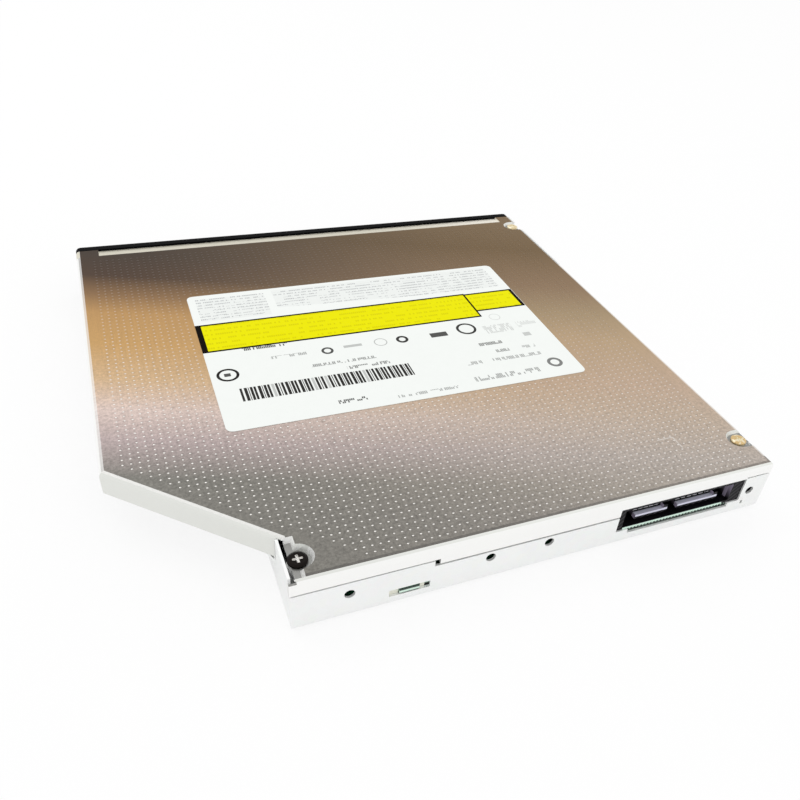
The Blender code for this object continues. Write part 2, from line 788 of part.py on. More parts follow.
def base_chassis():
    """Folded pan with a low right wall that curls out into the shelf under the wide side."""
    shell = outline_mesh([rectangle(left, wall_x, case_front, rear)], 0.0, wall_top)
    bevel_where(shell, edges_below(0.0, case_front), bend_radius)
    chassis = add("base_chassis", shell, zinc())
    ahead = case_front - bezel_depth
    loop = rectangle(inner_left, wall_x - chassis_sheet, ahead, rear - chassis_sheet)
    hollow = outline_mesh([loop], floor_top, case_height)
    bevel_where(hollow, edges_below(floor_top, case_front), bend_radius - chassis_sheet)
    cut(chassis, hollow, "inside")

    # Wall heights
    over = case_height + mm
    corner_y = slant_y(wall_x, cover_sheet + sheet_gap) - slot_width
    cut(chassis, box_mesh((wall_x - mm, case_front - mm, shelf_rise - sheet_gap),
                          (wall_x + mm, corner_y, over)), "right_wall")
    cut(chassis, box_mesh((wall_x - mm, corner_y - tiny, side_flange_low - sheet_gap),
                          (wall_x + mm, slant_rear_y + slot_width, over)), "corner_slot")
    cut(chassis, box_mesh((left - mm, left_step_y - sheet_gap, left_flange_low - sheet_gap),
                          (left + mm, rear + mm, over)), "left_wall")
    wall_back = rear - chassis_sheet - sheet_gap
    cut(chassis, box_mesh((rear_step_x, wall_back, rear_flange_right_low - sheet_gap),
                          (wall_x + mm, rear + mm, over)), "rear_right")
    cut(chassis, box_mesh((connector_right, wall_back, rear_flange_middle_low - sheet_gap),
                          (rear_step_x + tiny, rear + mm, over)), "rear_middle")
    cut(chassis, box_mesh((left - mm, wall_back, left_flange_low - sheet_gap),
                          (connector_left + tiny, rear + mm, over)), "rear_left")

    # Shelf, its curl drawn as an arc
    join(chassis, shelf(), "shelf")

    # Seats for the cover's screws
    x, y = right_screw_at
    boss_high = right_pocket_floor - cover_sheet - seat_gap
    join(chassis, rod_mesh(boss_radius, (x, y, floor_top - tiny * 100), (x, y, boss_high), 20), "boss")
    bore = screw_radius + screw_hole_gap
    small_bore = small_screw_radius + screw_hole_gap
    cut(chassis, rod_mesh(bore, (x, y, floor_top + 3 * mm), (x, y, over)), "boss_hole")
    for side, seat_y in left_screw_ys.items():
        screw_tab(chassis, side, seat_y)
    for k, (bx, by) in enumerate(board_seats()):
        join(chassis, rod_mesh(boss_radius, (bx, by, floor_top - tiny * 100),
                               (bx, by, main_board_low - seat_gap), 16), f"board_seat_{k}")
        cut(chassis, rod_mesh(small_bore, (bx, by, floor_top + 0.5 * mm), (bx, by, main_board_low + mm), 12),
            f"board_hole_{k}")

    # Rear wall: round holes, the board's slot and the connector's opening
    z = rear_hole_z
    for k, x in enumerate(rear_hole_xs):
        cut(chassis, rod_mesh(rear_hole_radius, (x, rear - mm, z), (x, rear + mm, z)), f"rear_hole_{k}")
    rear_slot(chassis, "board_slot", board_slot_x, board_slot_z, board_slot_width, board_slot_height)
    rear_slot(chassis, "edge_slot", edge_slot_x, edge_slot_z, edge_slot_width, edge_slot_height)
    cut(chassis, box_mesh((connector_left + connector_cheek, rear - mm, main_board_low),
                          (connector_right - connector_cheek, rear + mm, over)), "board_edge_bay")
    cut(chassis, box_mesh((connector_left - tiny, rear - mm, main_board_top),
                          (connector_right + tiny, rear + mm, over)), "connector_opening")
    return chassis


def rear_slot(chassis, name, x, z, width, height):
    low = (x - width / 2, rear - mm, z - height / 2)
    high = (x + width / 2, rear + mm, z + height / 2)
    cut(chassis, box_mesh(low, high), name)


def board_seats():
    """Where the main board is screwed down."""
    inset, right_inset = board_seat_insets
    return ((main_board_left + inset, main_board_front + inset),
            (main_board_right - right_inset, rear - 2 * inset))


def shelf():
    """The curled wall and the shelf, cut off along the slanted corner."""
    outer = shelf_radius
    inner = shelf_radius + chassis_sheet
    middle_x = wall_x + shelf_radius
    steps = 6
    outside = []
    inside = []
    for step in range(steps + 1):
        angle = math.pi / 2 * step / steps
        outside.append((middle_x - outer * math.cos(angle), shelf_rise + outer * math.sin(angle)))
        inside.append((middle_x - inner * math.cos(angle), shelf_rise + inner * math.sin(angle)))
    edge = inner_right - sheet_gap
    start = shelf_rise - 2 * sheet_gap
    loop = [(wall_x - chassis_sheet, start), (wall_x, start)] + outside
    loop += [(edge, shelf_low), (edge, shelf_top)] + list(reversed(inside))
    curl = add("chassis_shelf", outline_mesh([loop], case_front, slant_rear_y, axis="Y"), None, helpers)
    cut(curl, slant_cutter(cover_sheet + sheet_gap, 0.0, case_height), "slant")
    return curl


def screw_tab(chassis, side, y):
    """A tab bent in from the left wall, under the cover's pocket."""
    high = left_pocket_floor - cover_sheet - seat_gap
    half = tab_width / 2
    middle = y + (0.2 * mm if side == "rear" else 0.0)
    inner_x = inner_left + tab_reach
    if side == "front":
        bay = left_pocket_radius + pocket_slope
        cut(chassis, box_mesh((left - mm, y - bay, high), (inner_left + mm, y + bay, case_height + mm)),
            "front_bay")
        join(chassis, box_mesh((left + tiny, middle - half, high - tab_sheet),
                               (inner_x, middle + half, high)), "front_tab")
    else:
        upright = inner_left + sheet_gap
        outer = upright + tab_sheet
        join(chassis, box_mesh((left + tiny, middle - half, left_flange_low - 2 * mm),
                               (outer, middle + half, left_flange_low - 2 * sheet_gap)), "tab_root")
        join(chassis, box_mesh((upright, middle - half, left_flange_low - 1.5 * mm),
                               (outer, middle + half, high)), "tab_upright")
        join(chassis, box_mesh((upright, middle - half, high - tab_sheet),
                               (inner_x, middle + half, high)), "rear_tab")
    cut(chassis, rod_mesh(small_screw_radius + screw_hole_gap, (left_screw_x, y, high - mm),
                          (left_screw_x, y, high + mm), 12), side + "_tab_hole")


def screw(name, x, y, under_head, head_radius, shank_radius, length, material, upwards=False):
    """A flat-headed screw with a cross recess."""
    edge = 0.2 * head_radius
    high = under_head + head_height
    profile = [(0.0, high), (head_radius - edge, high), (head_radius, high - edge / 2),
               (head_radius, under_head), (shank_radius, under_head), (shank_radius, under_head - length),
               (0.0, under_head - length)]
    item = turned(name, profile, 20, material, (x, y, 0.0))
    arm = head_radius * 0.5
    slit = head_radius * 0.13
    depth = head_height * 0.55
    low = high - depth
    loop = [(-arm, -slit), (-slit, -slit), (-slit, -arm), (slit, -arm), (slit, -slit), (arm, -slit),
            (arm, slit), (slit, slit), (slit, arm), (-slit, arm), (-slit, slit), (-arm, slit)]
    cross = outline_mesh([loop], low, high + head_height)
    cross.transform(Matrix.Translation((x, y, 0.0)))
    cut(item, cross, "cross")
    if upwards:
        both = under_head + high
        flip = Matrix.Translation((0, 0, both)) @ Matrix.Scale(-1, 4, (0, 0, 1))
        item.rotation_euler = (math.pi, 0.0, 0.0)
        item.location = (x, y, both)
        cross.transform(flip)
        cross.flip_normals()
    return item


def cover_screws():
    x, y = right_screw_at
    screw("cover_screw_rear_right", x, y, right_pocket_floor + seat_gap, right_head_radius, screw_radius,
          screw_length, blackened())
    for side, seat_y in left_screw_ys.items():
        screw(f"cover_screw_{side}_left", left_screw_x, seat_y, left_pocket_floor + seat_gap,
              left_head_radius, small_screw_radius, screw_length / 2, brass())


def board_screws():
    for side, (x, y) in zip(("left", "right"), board_seats()):
        screw(f"board_screw_{side}", x, y, main_board_top + seat_gap, left_head_radius, small_screw_radius,
              board_screw_length, steel())


def rail(name, side, rear_y):
    """Thin steel channel, open towards the tray."""
    out = rail_out
    loop = [(out - rail_lip - rail_sheet, rail_low), (out, rail_low), (out, rail_high),
            (out - rail_lip - rail_sheet, rail_high), (out - rail_lip - rail_sheet, rail_high - rail_sheet),
            (out - rail_sheet, rail_high - rail_sheet), (out - rail_sheet, rail_low + rail_sheet),
            (out - rail_lip - rail_sheet, rail_low + rail_sheet)]
    mesh = outline_mesh([[(side * x, z) for x, z in loop]], rail_front, rear_y, axis="Y")
    return add(name, mesh, steel())


def guide(name, side, rear_y, ledge):
    """Plastic guide fixed beside the rail, with a lip over it and, on the left, a ledge under it."""
    out = guide_out
    inner = out - guide_wall
    lip_low = rail_high + sheet_gap
    lip_high = lip_low + guide_wall
    low = shelf_top + sheet_gap
    loop = [(out, low), (out, lip_high), (inner - guide_lip, lip_high), (inner - guide_lip, lip_low),
            (inner, lip_low), (inner, low)]
    if ledge:
        ledge_low = low - sheet_gap - guide_wall
        loop = loop[1:5] + [(inner, low - sheet_gap), (inner - guide_lip, low - sheet_gap),
                            (inner - guide_lip, ledge_low), (out, ledge_low)]
    mesh = outline_mesh([[(side * x, z) for x, z in loop]], guide_front, rear_y, axis="Y")
    return add(name, mesh, finish("white_acetal", (0.75, 0.75, 0.73), 0.4, 0.0))


def tray_plan(half, rear_y, inside):
    """The tray's plan, with its rear right corner cut parallel to the case's."""
    slant_at_side = slant_y(half, inside)
    slant_at_rear = right + (rear_y - slant_front_y + inside * math.hypot(1.0, slant_slope())) / slant_slope()
    return [(-half, tray_front), (half, tray_front), (half, min(slant_at_side, rear_y)),
            (slant_at_rear, rear_y), (-half, rear_y)]


def slant_slope():
    return (slant_end_y() - slant_front_y) / (cover_rear_x - right)


def disc_tray():
    """Moulded drawer: plate with side ribs, raised corners round the disc recess, front wall and skirts."""
    inside = cover_sheet + 3.5 * mm
    plate_half = rail_out - rail_lip - rail_sheet - sheet_gap
    plate = tray_plan(plate_half, tray_rear, inside)
    tray = add("disc_tray", outline_mesh([plate], tray_low, tray_top), black())
    rib = tray_plan(rib_out, tray_rear - mm, inside)
    join(tray, outline_mesh([rib], rib_low, rib_low + rib_height), "ribs")
    rim = tray_plan(tray_rim_half, tray_rear - 1.2 * mm, inside + mm)
    join(tray, outline_mesh([rim], tray_low + 0.2 * mm, tray_rim_high), "rim")

    # Front wall and lower skirts, joined into one frame that is open underneath
    outer = rectangle(tray_skirt_left, tray_skirt_right, tray_front, tray_skirt_rear)
    inner = rectangle(tray_skirt_left + tray_wall, tray_skirt_right - tray_wall, tray_inner_front,
                      tray_skirt_rear + mm)
    skirt = add("tray_skirt", outline_mesh([outer], tray_skirt_low, tray_low + 0.3 * mm), None, helpers)
    cut(skirt, outline_mesh([inner], tray_skirt_low - mm, tray_low + mm), "inside")
    join(tray, skirt, "skirt")

    # Posts that the traverse's dampers sit on
    for k, (u, v) in enumerate(damper_places):
        x, y = place(u, v)
        join(tray, rod_mesh(post_radius, (x, y, frame_low - 0.3 * mm), (x, y, tray_low + 0.3 * mm), 12),
             f"post_{k}")

    # Disc recess with a lower floor for small discs, and finger dips at its sides
    recess = disc_radius + disc_clearance
    cut(tray, rod_mesh(recess, (0, spindle_y, tray_top), (0, spindle_y, tray_rim_high + mm), 72,
                       recess + (tray_rim_high + mm - tray_top) * 0.15), "recess")
    cut(tray, rod_mesh(small_disc_radius + disc_clearance, (0, spindle_y, tray_top - small_disc_drop),
                       (0, spindle_y, tray_top + mm), 60), "small_recess")
    for k, side in enumerate((-1, 1)):
        x = side * (disc_radius * 0.66)
        y = tray_front + finger_dip_radius + 4 * mm
        cut(tray, rod_mesh(finger_dip_radius, (x, y, tray_top), (x, y, tray_rim_high + mm), 28), f"dip_{k}")

    # Opening for the hub and the pickup
    half = window_half + sheet_gap
    opening = rectangle(0.0, window_far - mm, -half, half, 3 * mm)
    cut(tray, at_traverse(outline_mesh([opening], tray_low - mm, tray_rim_high + mm)), "pickup_window")
    cut(tray, rod_mesh(hub_hole_radius, (0, spindle_y, tray_low - mm), (0, spindle_y, tray_rim_high + mm),
                       40), "hub_hole")

    # Clearances: screw holes in the posts, and the button's stem through the front wall
    for k, (u, v) in enumerate(damper_places):
        x, y = place(u, v)
        cut(tray, rod_mesh(small_screw_radius + screw_hole_gap, (x, y, frame_low - mm),
                           (x, y, frame_low + 3 * mm), 10), f"post_hole_{k}")
    stem = button_height / 2
    tall = stem / 2 + button_gap
    cut(tray, box_mesh((button_x - stem, tray_front - mm, button_z - tall),
                       (button_x + stem, tray_inner_front + mm, button_z + tall)), "stem_hole")
    cut(tray, rod_mesh(pin_hole_radius, (pin_hole_x, tray_front - mm, button_z),
                       (pin_hole_x, tray_inner_front + mm, button_z), 12), "pin_hole")
    return tray


def tray_bottom_plate():
    """Thin plate that closes the drawer from below."""
    x0 = tray_skirt_left + sheet_gap
    x1 = bottom_plate_right
    loops = [rectangle(x0, x1, tray_front + sheet_gap, tray_skirt_rear - mm, 1.5 * mm)]
    for u, v in damper_places:
        loops.append(circle(*place(u, v), damper_core + damper_head_gap, 16))
    mesh = outline_mesh(loops, bottom_plate_low, bottom_plate_low + bottom_plate_sheet)
    return add("tray_bottom_plate", mesh, zinc())


def traverse_frame():
    """Pressed frame plate with the pickup's window, rod clamps and damper ears."""
    (near_u, near_v), (far_u, _) = damper_places[2], damper_places[1]
    tail = near_u - frame_near_reach
    notch_near = motor_near - motor_notch_gap
    notch_far = motor_far + motor_notch_gap
    notch_v = lead_v - motor_radius - 0.8 * motor_notch_gap
    corner_u = far_u - (frame_half - frame_shoulder_half)     # long corners parallel to the case's sides
    nose_u = far_u + frame_far_reach
    plan = rounded([(tail, -frame_near_half, 3 * mm), (tail, near_v / 2, 3 * mm),
                    (notch_near, frame_shoulder_half / 2, 3 * mm), (notch_near, notch_v, 2 * mm),
                    (notch_far, notch_v, 0), (notch_far, frame_half, 0), (corner_u, frame_half, 2 * mm),
                    (far_u, frame_shoulder_half, 3 * mm), (nose_u, frame_nose_half, 2 * mm),
                    (nose_u, -frame_nose_half, 2 * mm), (far_u, -frame_shoulder_half, 3 * mm),
                    (corner_u, -frame_half, 2 * mm), (near_v, -frame_half, 4 * mm)])
    loops = [plan, rectangle(window_near, window_far, -window_half, window_half, 1.5 * mm)]
    for u, v in damper_places[1:]:
        loops.append(circle(u, v, damper_core + sheet_gap, 20))
    frame = add("traverse_frame", at_traverse(outline_mesh(loops, frame_low, frame_top)), zinc())
    u, v = damper_places[0]
    ear = rod_mesh(damper_radius + damper_ear, (u, v, frame_low), (u, v, frame_top), 24)
    join(frame, at_traverse(ear), "ear")
    ear_hole = rod_mesh(damper_core + sheet_gap, (u, v, frame_low - mm), (u, v, frame_top + mm), 20)
    cut(frame, at_traverse(ear_hole), "ear_hole")

    # Clamps that hold the two rods, and the far bearing of the lead screw
    reach = rod_radius + 0.7 * mm
    for k, v in enumerate((-rod_v, rod_v)):
        for j, u in enumerate((rod_near, rod_far - clamp_length)):
            join(frame, at_traverse(box_mesh((u, v - reach, frame_top - 0.3 * mm),
                                             (u + clamp_length, v + reach, rod_z + reach))), f"clamp_{k}{j}")
        cut(frame, at_traverse(rod_mesh(rod_radius + seat_gap, (rod_near + 0.8 * mm, v, rod_z),
                                        (rod_far - 0.8 * mm, v, rod_z))), f"rod_seat_{k}")
    near = lead_far - bearing_length
    bearing = box_mesh((near, lead_v - bearing_length, frame_top - 0.3 * mm),
                       (lead_far, lead_v + bearing_length, rod_z + bearing_length))
    join(frame, at_traverse(bearing), "bearing")
    hole = rod_mesh(bearing_bore, (near - mm, lead_v, rod_z), (lead_far + mm, lead_v, rod_z))
    cut(frame, at_traverse(hole), "bearing_hole")
    return frame


def rods():
    for name, v in (("guide_rod_main", rod_v), ("guide_rod_side", -rod_v)):
        mesh = rod_mesh(rod_radius, (rod_near + 0.9 * mm, v, rod_z), (rod_far - 0.9 * mm, v, rod_z), 16)
        add(name, at_traverse(mesh), steel())


def pickup_sled():
    """Die-cast sled with two sleeves on the rods, a well for the lens and a tooth at the lead screw."""
    low = frame_top + 0.4 * mm
    back = lens_near - sled_back
    ahead = lens_near + sled_ahead
    shoulder = ahead - sled_shoulder
    plan = rounded([(back, -sled_half, 2 * mm), (shoulder, -sled_half, 2 * mm),
                    (ahead, -sled_nose_half, 2 * mm), (ahead, sled_nose_half, 2 * mm),
                    (shoulder, sled_half, 2 * mm), (back, sled_half, 2 * mm), (back, sled_notch_half, mm),
                    (back + sled_notch, 0.0, 4 * mm), (back, -sled_notch_half, mm)])
    cast = finish("cast_zinc", (0.55, 0.55, 0.56), 0.4, 1.0)
    sled = add("pickup_sled", outline_mesh([plan], low, sled_high), cast)
    reach, half = optics_half
    join(sled, box_mesh((lens_near - reach, -half, bottom_plate_low + bottom_plate_sheet + 0.4 * mm),
                        (lens_near + reach, half, low + 0.5 * mm)), "optics")
    hole = rod_radius + running_gap
    sleeve_end = back + sleeve_length
    for k, side in enumerate((-1, 1)):
        v = side * rod_v
        inner_v = side * (sled_half - mm)
        outer_v = side * (rod_v + hole + 0.3 * mm)
        join(sled, box_mesh((back, min(inner_v, outer_v), low),
                            (sleeve_end, max(inner_v, outer_v), rod_z + hole + 0.4 * mm)), f"sleeve_{k}")
        cut(sled, rod_mesh(hole, (back - mm, v, rod_z), (sleeve_end + mm, v, rod_z), 14), f"bore_{k}")
    start, end = sled_tooth
    tooth = box_mesh((back + start, rod_v + hole, rod_z - sled_tooth_half),
                     (back + end, lead_v - lead_radius - running_gap, rod_z + sled_tooth_half))
    join(sled, tooth, "tooth")
    gap = focus_travel
    well = rectangle(lens_near - holder_length / 2 - gap, lens_near + holder_length / 2 + gap,
                     -holder_width / 2 - gap, holder_width / 2 + gap, 0.5 * mm)
    cut(sled, outline_mesh([well], holder_low - 2 * gap, sled_high + mm), "well")
    sled.data.transform(traverse_turn)
    for modifier in sled.modifiers:
        modifier.object.data.transform(traverse_turn)
    return sled


def lens_holder():
    loops = [rectangle(lens_near - holder_length / 2, lens_near + holder_length / 2, -holder_width / 2,
                       holder_width / 2, 1.2 * mm), circle(lens_near, 0.0, lens_radius + 2 * seat_gap, 24)]
    return add("lens_holder", at_traverse(outline_mesh(loops, holder_low, holder_high)), black())


def objective_lens():
    """Small domed lens in the holder's bore."""
    steps = 4
    profile = []
    dome = lens_high - holder_high + 0.3 * mm
    for step in range(steps + 1):
        angle = math.pi / 2 * (1 - step / steps)
        profile.append((lens_radius * math.cos(angle), lens_high - dome + dome * math.sin(angle)))
    profile.append((lens_radius, holder_low + 0.2 * mm))
    profile.append((0.0, holder_low + 0.2 * mm))
    profile[0] = (0.0, lens_high)
    x, y = place(lens_near, 0.0)
    glass = finish("clear_lens", (0.35, 0.40, 0.62), 0.05, 0.0)
    return turned("objective_lens", profile, 24, glass, (x, y, 0.0))


def lead_screw():
    """Stepped shaft with its thread shown as turned grooves."""
    start = motor_far + sheet_gap
    end = lead_far - bearing_length - sheet_gap
    journal = bearing_bore - running_gap
    tip = lead_far - 0.5 * mm
    count = int((end - start) / lead_pitch)
    profile = [(0.0, tip), (journal, tip), (journal, end), (lead_radius, end)]
    for k in range(count):
        groove = end - (k + 0.5) * lead_pitch
        profile += [(lead_radius, groove + lead_groove), (lead_radius - lead_groove, groove),
                    (lead_radius, groove - lead_groove)]
    profile += [(lead_radius, start), (0.0, start)]
    x, y = place(0.0, lead_v)
    item = turned("lead_screw", profile, 10, steel(), (x, y, rod_z))
    item.rotation_euler = (0.0, math.pi / 2, traverse_angle)
    return item


def sled_motor():
    """Small stepper with a bracket that hooks on the frame."""
    body = rod_mesh(motor_radius, (motor_near, lead_v, rod_z), (motor_far - 1.2 * mm, lead_v, rod_z), 20)
    motor = add("sled_motor", at_traverse(body), steel())
    flange = box_mesh((motor_far - 1.4 * mm, lead_v - motor_radius, frame_low),
                      (motor_far, lead_v + motor_radius, rod_z + motor_radius))
    join(motor, at_traverse(flange), "bracket")
    return motor


def spindle_stator():
    """Motor base with its bearing tube."""
    low = frame_top + seat_gap
    profile = [(shaft_radius + sheet_gap, bearing_high), (bearing_radius, bearing_high),
               (bearing_radius, low + stator_sheet), (stator_radius, low + stator_sheet),
               (stator_radius, low), (shaft_radius + sheet_gap, low)]
    return turned("spindle_stator", profile, 32, zinc(), spindle)


def spindle_rotor():
    """Rotor cup on its shaft."""
    inner = rotor_radius - rotor_wall
    edge = 0.6 * mm
    shaft_low = frame_top + 0.4 * mm
    profile = [(0.0, table_low - sheet_gap), (rotor_neck, table_low - sheet_gap), (rotor_neck, rotor_high),
               (rotor_radius - edge, rotor_high), (rotor_radius, rotor_high - edge),
               (rotor_radius, rotor_low), (inner, rotor_low), (inner, rotor_high - rotor_wall),
               (shaft_radius, rotor_high - rotor_wall), (shaft_radius, shaft_low), (0.0, shaft_low)]
    return turned("spindle_rotor", profile, 36, steel(), spindle)


def turntable():
    """Platter and centring hub, with a slot for each sprung claw."""
    groove = table_high - ring_groove
    inner = ring_inner - seat_gap
    outer = ring_outer + seat_gap
    edge = 0.8 * mm
    profile = [(0.0, hub_high), (hub_radius - 2 * edge, hub_high), (hub_radius - edge / 2, hub_high - edge),
               (hub_radius, hub_high - 2 * edge), (hub_radius, table_high), (inner, table_high),
               (inner, groove), (outer, groove), (outer, table_high), (table_radius, table_high),
               (table_radius, table_low), (0.0, table_low)]
    table = turned("turntable", profile, 36, black(), spindle)
    for k in range(claw_count):
        angle = claw_angle(k)
        slot = claw_block(angle, button_gap, claw_length + 1.2 * mm, 2 * mm)
        cut(table, slot, f"claw_slot_{k}")
    return table


def claw_angle(k):
    return math.radians(90 + 360 / claw_count * k)


def claw_block(angle, grow, length, beyond):
    """A radial block at the hub's edge, at this angle round the spindle."""
    middle = (disc_seat + hub_high - 0.8 * mm) / 2
    outer = hub_radius + beyond
    half = claw_width / 2 + grow
    mesh = box_mesh((outer - beyond - length, -half, middle - claw_height / 2 - grow),
                    (outer, half, middle + claw_height / 2 + grow))
    mesh.transform(Matrix.Translation(spindle) @ Matrix.Rotation(angle, 4, "Z"))
    return mesh


def hub_claws():
    for k in range(claw_count):
        mesh = claw_block(claw_angle(k), 0.0, claw_length, claw_proud)
        add(f"hub_claw_{k + 1}", mesh, finish("white_acetal", (0.75, 0.75, 0.73), 0.4, 0.0))


def turntable_ring():
    groove = table_high - ring_groove + seat_gap
    profile = [(ring_inner, disc_seat), (ring_outer, disc_seat), (ring_outer, groove), (ring_inner, groove)]
    return turned("turntable_ring", profile, 36, rubber(), spindle)


def dampers():
    """Rubber bushes in the frame's holes, each screwed to a post of the tray from below."""
    low = frame_low - running_gap - damper_flange
    high = frame_top + running_gap + damper_flange
    bore = post_radius + running_gap
    for k, (u, v) in enumerate(damper_places):
        x, y = place(u, v)
        profile = [(bore, high), (damper_radius, high), (damper_radius, high - damper_flange),
                   (damper_core, high - damper_flange), (damper_core, low + damper_flange),
                   (damper_radius, low + damper_flange), (damper_radius, low), (bore, low)]
        turned(f"damper_{k + 1}", profile, 18, rubber(), (x, y, 0.0))
        head_low = floor_top + sheet_gap + 0.05 * mm
        screw(f"damper_screw_{k + 1}", x, y, head_low, damper_core, small_screw_radius, 3.6 * mm, steel(),
              upwards=True)


def main_board():
    loop = rectangle(main_board_left, main_board_right, main_board_front, main_board_rear)
    holes = [circle(x, y, small_screw_radius + screw_hole_gap, 12) for x, y in board_seats()]
    board = add("main_board", outline_mesh([loop] + holes, main_board_low, main_board_top), green())
    half = main_board_tab / 2
    join(board, box_mesh((board_slot_x - half, main_board_rear - mm, main_board_low),
                         (board_slot_x + half, rear - seat_gap, main_board_top)), "tab")
    return board


def chip(name, x0, x1, y0, y1, low, height):
    mesh = box_mesh((x0, y0, low), (x1, y1, low + height))
    bevel_where(mesh, edges_above(low + height), 0.2 * mm, 1)
    return add(name, mesh, black())


def board_parts():
    top = main_board_top + seat_gap
    for name, (corner, size, height) in board_chips.items():
        x1 = main_board_right - corner[0]
        y0 = main_board_front + corner[1]
        chip(name, x1 - size[0], x1, y0, y0 + size[1], top, height)


def connector():
    """Signal and power socket: black housing, open to the rear, round two flat tongues."""
    back = rear - sheet_gap
    start = back - connector_depth
    low = main_board_top + seat_gap
    body = box_mesh((connector_left + seat_gap, start, low),
                    (connector_right - seat_gap, back, connector_high))
    housing = add("signal_power_connector", body, black())
    cavity = box_mesh((connector_left + connector_cheek, start + 2 * mm, low + connector_wall),
                      (connector_right - connector_cheek / 2, back + mm, connector_high - connector_wall))
    cut(housing, cavity, "cavity")
    tip = back - 0.8 * mm
    tongue_high = tongue_low + tongue_thickness
    for k, (x0, x1) in enumerate((power_tongue, signal_tongue)):
        join(housing, box_mesh((x0, start + mm, tongue_low), (x1, tip, tongue_high)), f"tongue_{k}")
        # Key at one end of each tongue
        key = box_mesh((x0, start + mm, tongue_low), (x0 + mm, tip, tongue_high + 0.8 * mm))
        join(housing, key, f"key_{k}")
    return housing


def ribbon(points, thickness):
    """The closed outline of a strip that follows a path."""
    upper = []
    lower = []
    for index, point in enumerate(points):
        before = Vector(points[max(index - 1, 0)])
        after = Vector(points[min(index + 1, len(points) - 1)])
        run = (after - before).normalized()
        side = Vector((-run.y, run.x)) * thickness / 2
        upper.append(tuple(Vector(point) + side))
        lower.append(tuple(Vector(point) - side))
    return upper + list(reversed(lower))


def flex_cable():
    """Flat cable: from the main board down to the floor, forwards, round one turn and back to the tray."""
    path = [(cable_board_end, cable_high_z), (main_board_front - 0.5 * mm, cable_high_z)]
    steps = 6
    rise = cable_high_z - cable_low_z
    run = 3 * mm
    for step in range(1, steps + 1):
        share = step / steps
        ease = (1 + math.cos(math.pi * share)) / 2
        path.append((main_board_front - 0.5 * mm - run * share, cable_low_z + rise * ease))
    radius = rise / 2
    for step in range(9):
        angle = -math.pi / 2 - math.pi * step / 8
        z = cable_low_z + radius + radius * math.sin(angle)
        path.append((cable_turn_y + radius * math.cos(angle), z))
    path.append((cable_tray_end, cable_high_z))
    half = cable_width / 2
    mesh = outline_mesh([ribbon(path, cable_sheet)], cable_middle - half, cable_middle + half, axis="X")
    return add("flex_cable", mesh, finish("amber_film", (0.45, 0.22, 0.05), 0.35, 0.0))


def flex_socket(name, y0, y1, low, high):
    """Low socket with a slot for the cable's end."""
    half = cable_width / 2 + socket_side
    body = box_mesh((cable_middle - half, y0, low), (cable_middle + half, y1, high))
    socket = add(name, body, finish("ivory_plastic", (0.72, 0.68, 0.58), 0.5, 0.0))
    slot_half = half - socket_wall
    half_mouth = cable_sheet / 2 + socket_height_gap
    cut(socket, box_mesh((cable_middle - slot_half, y0 - mm, cable_high_z - half_mouth),
                         (cable_middle + slot_half, y1 - socket_back, cable_high_z + half_mouth)), "mouth")
    return socket


def sockets():
    flex_socket("board_flex_socket", main_board_front, cable_board_end + socket_past_cable,
                floor_top + socket_floor_gap, main_board_low - seat_gap)
    over_lower_run = cable_low_z + cable_sheet / 2 + running_gap
    flex_socket("tray_flex_socket", cable_tray_end - tray_socket_grip, cable_tray_end + socket_past_cable,
                over_lower_run, tray_board_low - seat_gap)


def tray_board():
    x0 = cable_middle - tray_board_beside[0]
    x1 = cable_middle + tray_board_beside[1]
    top = tray_board_low + small_board_thickness
    board = box_mesh((x0, tray_board_front, tray_board_low), (x1, tray_board_rear, top))
    chip_x = x0 + tray_chip_inset
    chip_y = tray_board_front + tray_chip_inset
    chip("tray_board_chip", chip_x, chip_x + tray_chip_size, chip_y, chip_y + tray_chip_size,
         top + seat_gap, mm)
    return add("tray_board", board, green())


def bezel():
    """Front panel with rounded edges, a button window, a lamp window and a pin hole."""
    loop = rectangle(left, right, bezel_low, bezel_high, 1.2 * mm)
    mesh = outline_mesh([loop], front, bezel_back, axis="Y")
    bevel_where(mesh, lambda a, b: max(a.y, b.y) < front + tiny, bezel_edge, 3)
    panel = add("bezel", mesh, black())
    half = button_width / 2 + button_gap
    tall = button_height / 2 + button_gap
    window = box_mesh((button_x - half, front - mm, button_z - tall),
                      (button_x + half, bezel_back + mm, button_z + tall))
    cut(panel, window, "button_window")
    half = lamp_width / 2 + seat_gap
    tall = lamp_height / 2 + seat_gap
    window = box_mesh((lamp_x - half, front - mm, button_z - tall),
                      (lamp_x + half, bezel_back + mm, button_z + tall))
    cut(panel, window, "lamp_window")
    cut(panel, rod_mesh(pin_hole_radius, (pin_hole_x, front - mm, button_z),
                        (pin_hole_x, bezel_back + mm, button_z), 12), "pin_hole")
    # The back is relieved between its edges, as thin mouldings are
    cut(panel, box_mesh((left + 3 * mm, bezel_back - 0.8 * mm, bezel_low + 1.6 * mm),
                        (pin_hole_x - 4 * mm, bezel_back + mm, bezel_high - 1.6 * mm)), "relief")
    return panel


def eject_button():
    half = button_width / 2
    tall = button_height / 2
    face_back = tray_front - button_travel - button_stop
    face = box_mesh((button_x - half, front, button_z - tall), (button_x + half, face_back, button_z + tall))
    bevel_where(face, lambda a, b: max(a.y, b.y) < front + tiny, 0.4 * mm, 2)
    button = add("eject_button", face, black())
    stem = button_height / 2 - button_gap
    join(button, box_mesh((button_x - stem, face_back - mm, button_z - stem / 2),
                          (button_x + stem, tray_inner_front, button_z + stem / 2)), "stem")
    return button


def lamp_lens():
    half = lamp_width / 2
    tall = lamp_height / 2
    mesh = box_mesh((lamp_x - half, front + 0.2 * mm, button_z - tall),
                    (lamp_x + half, bezel_back, button_z + tall))
    return add("lamp_lens", mesh, finish("lamp_green", (0.20, 0.55, 0.25), 0.25, 0.0))


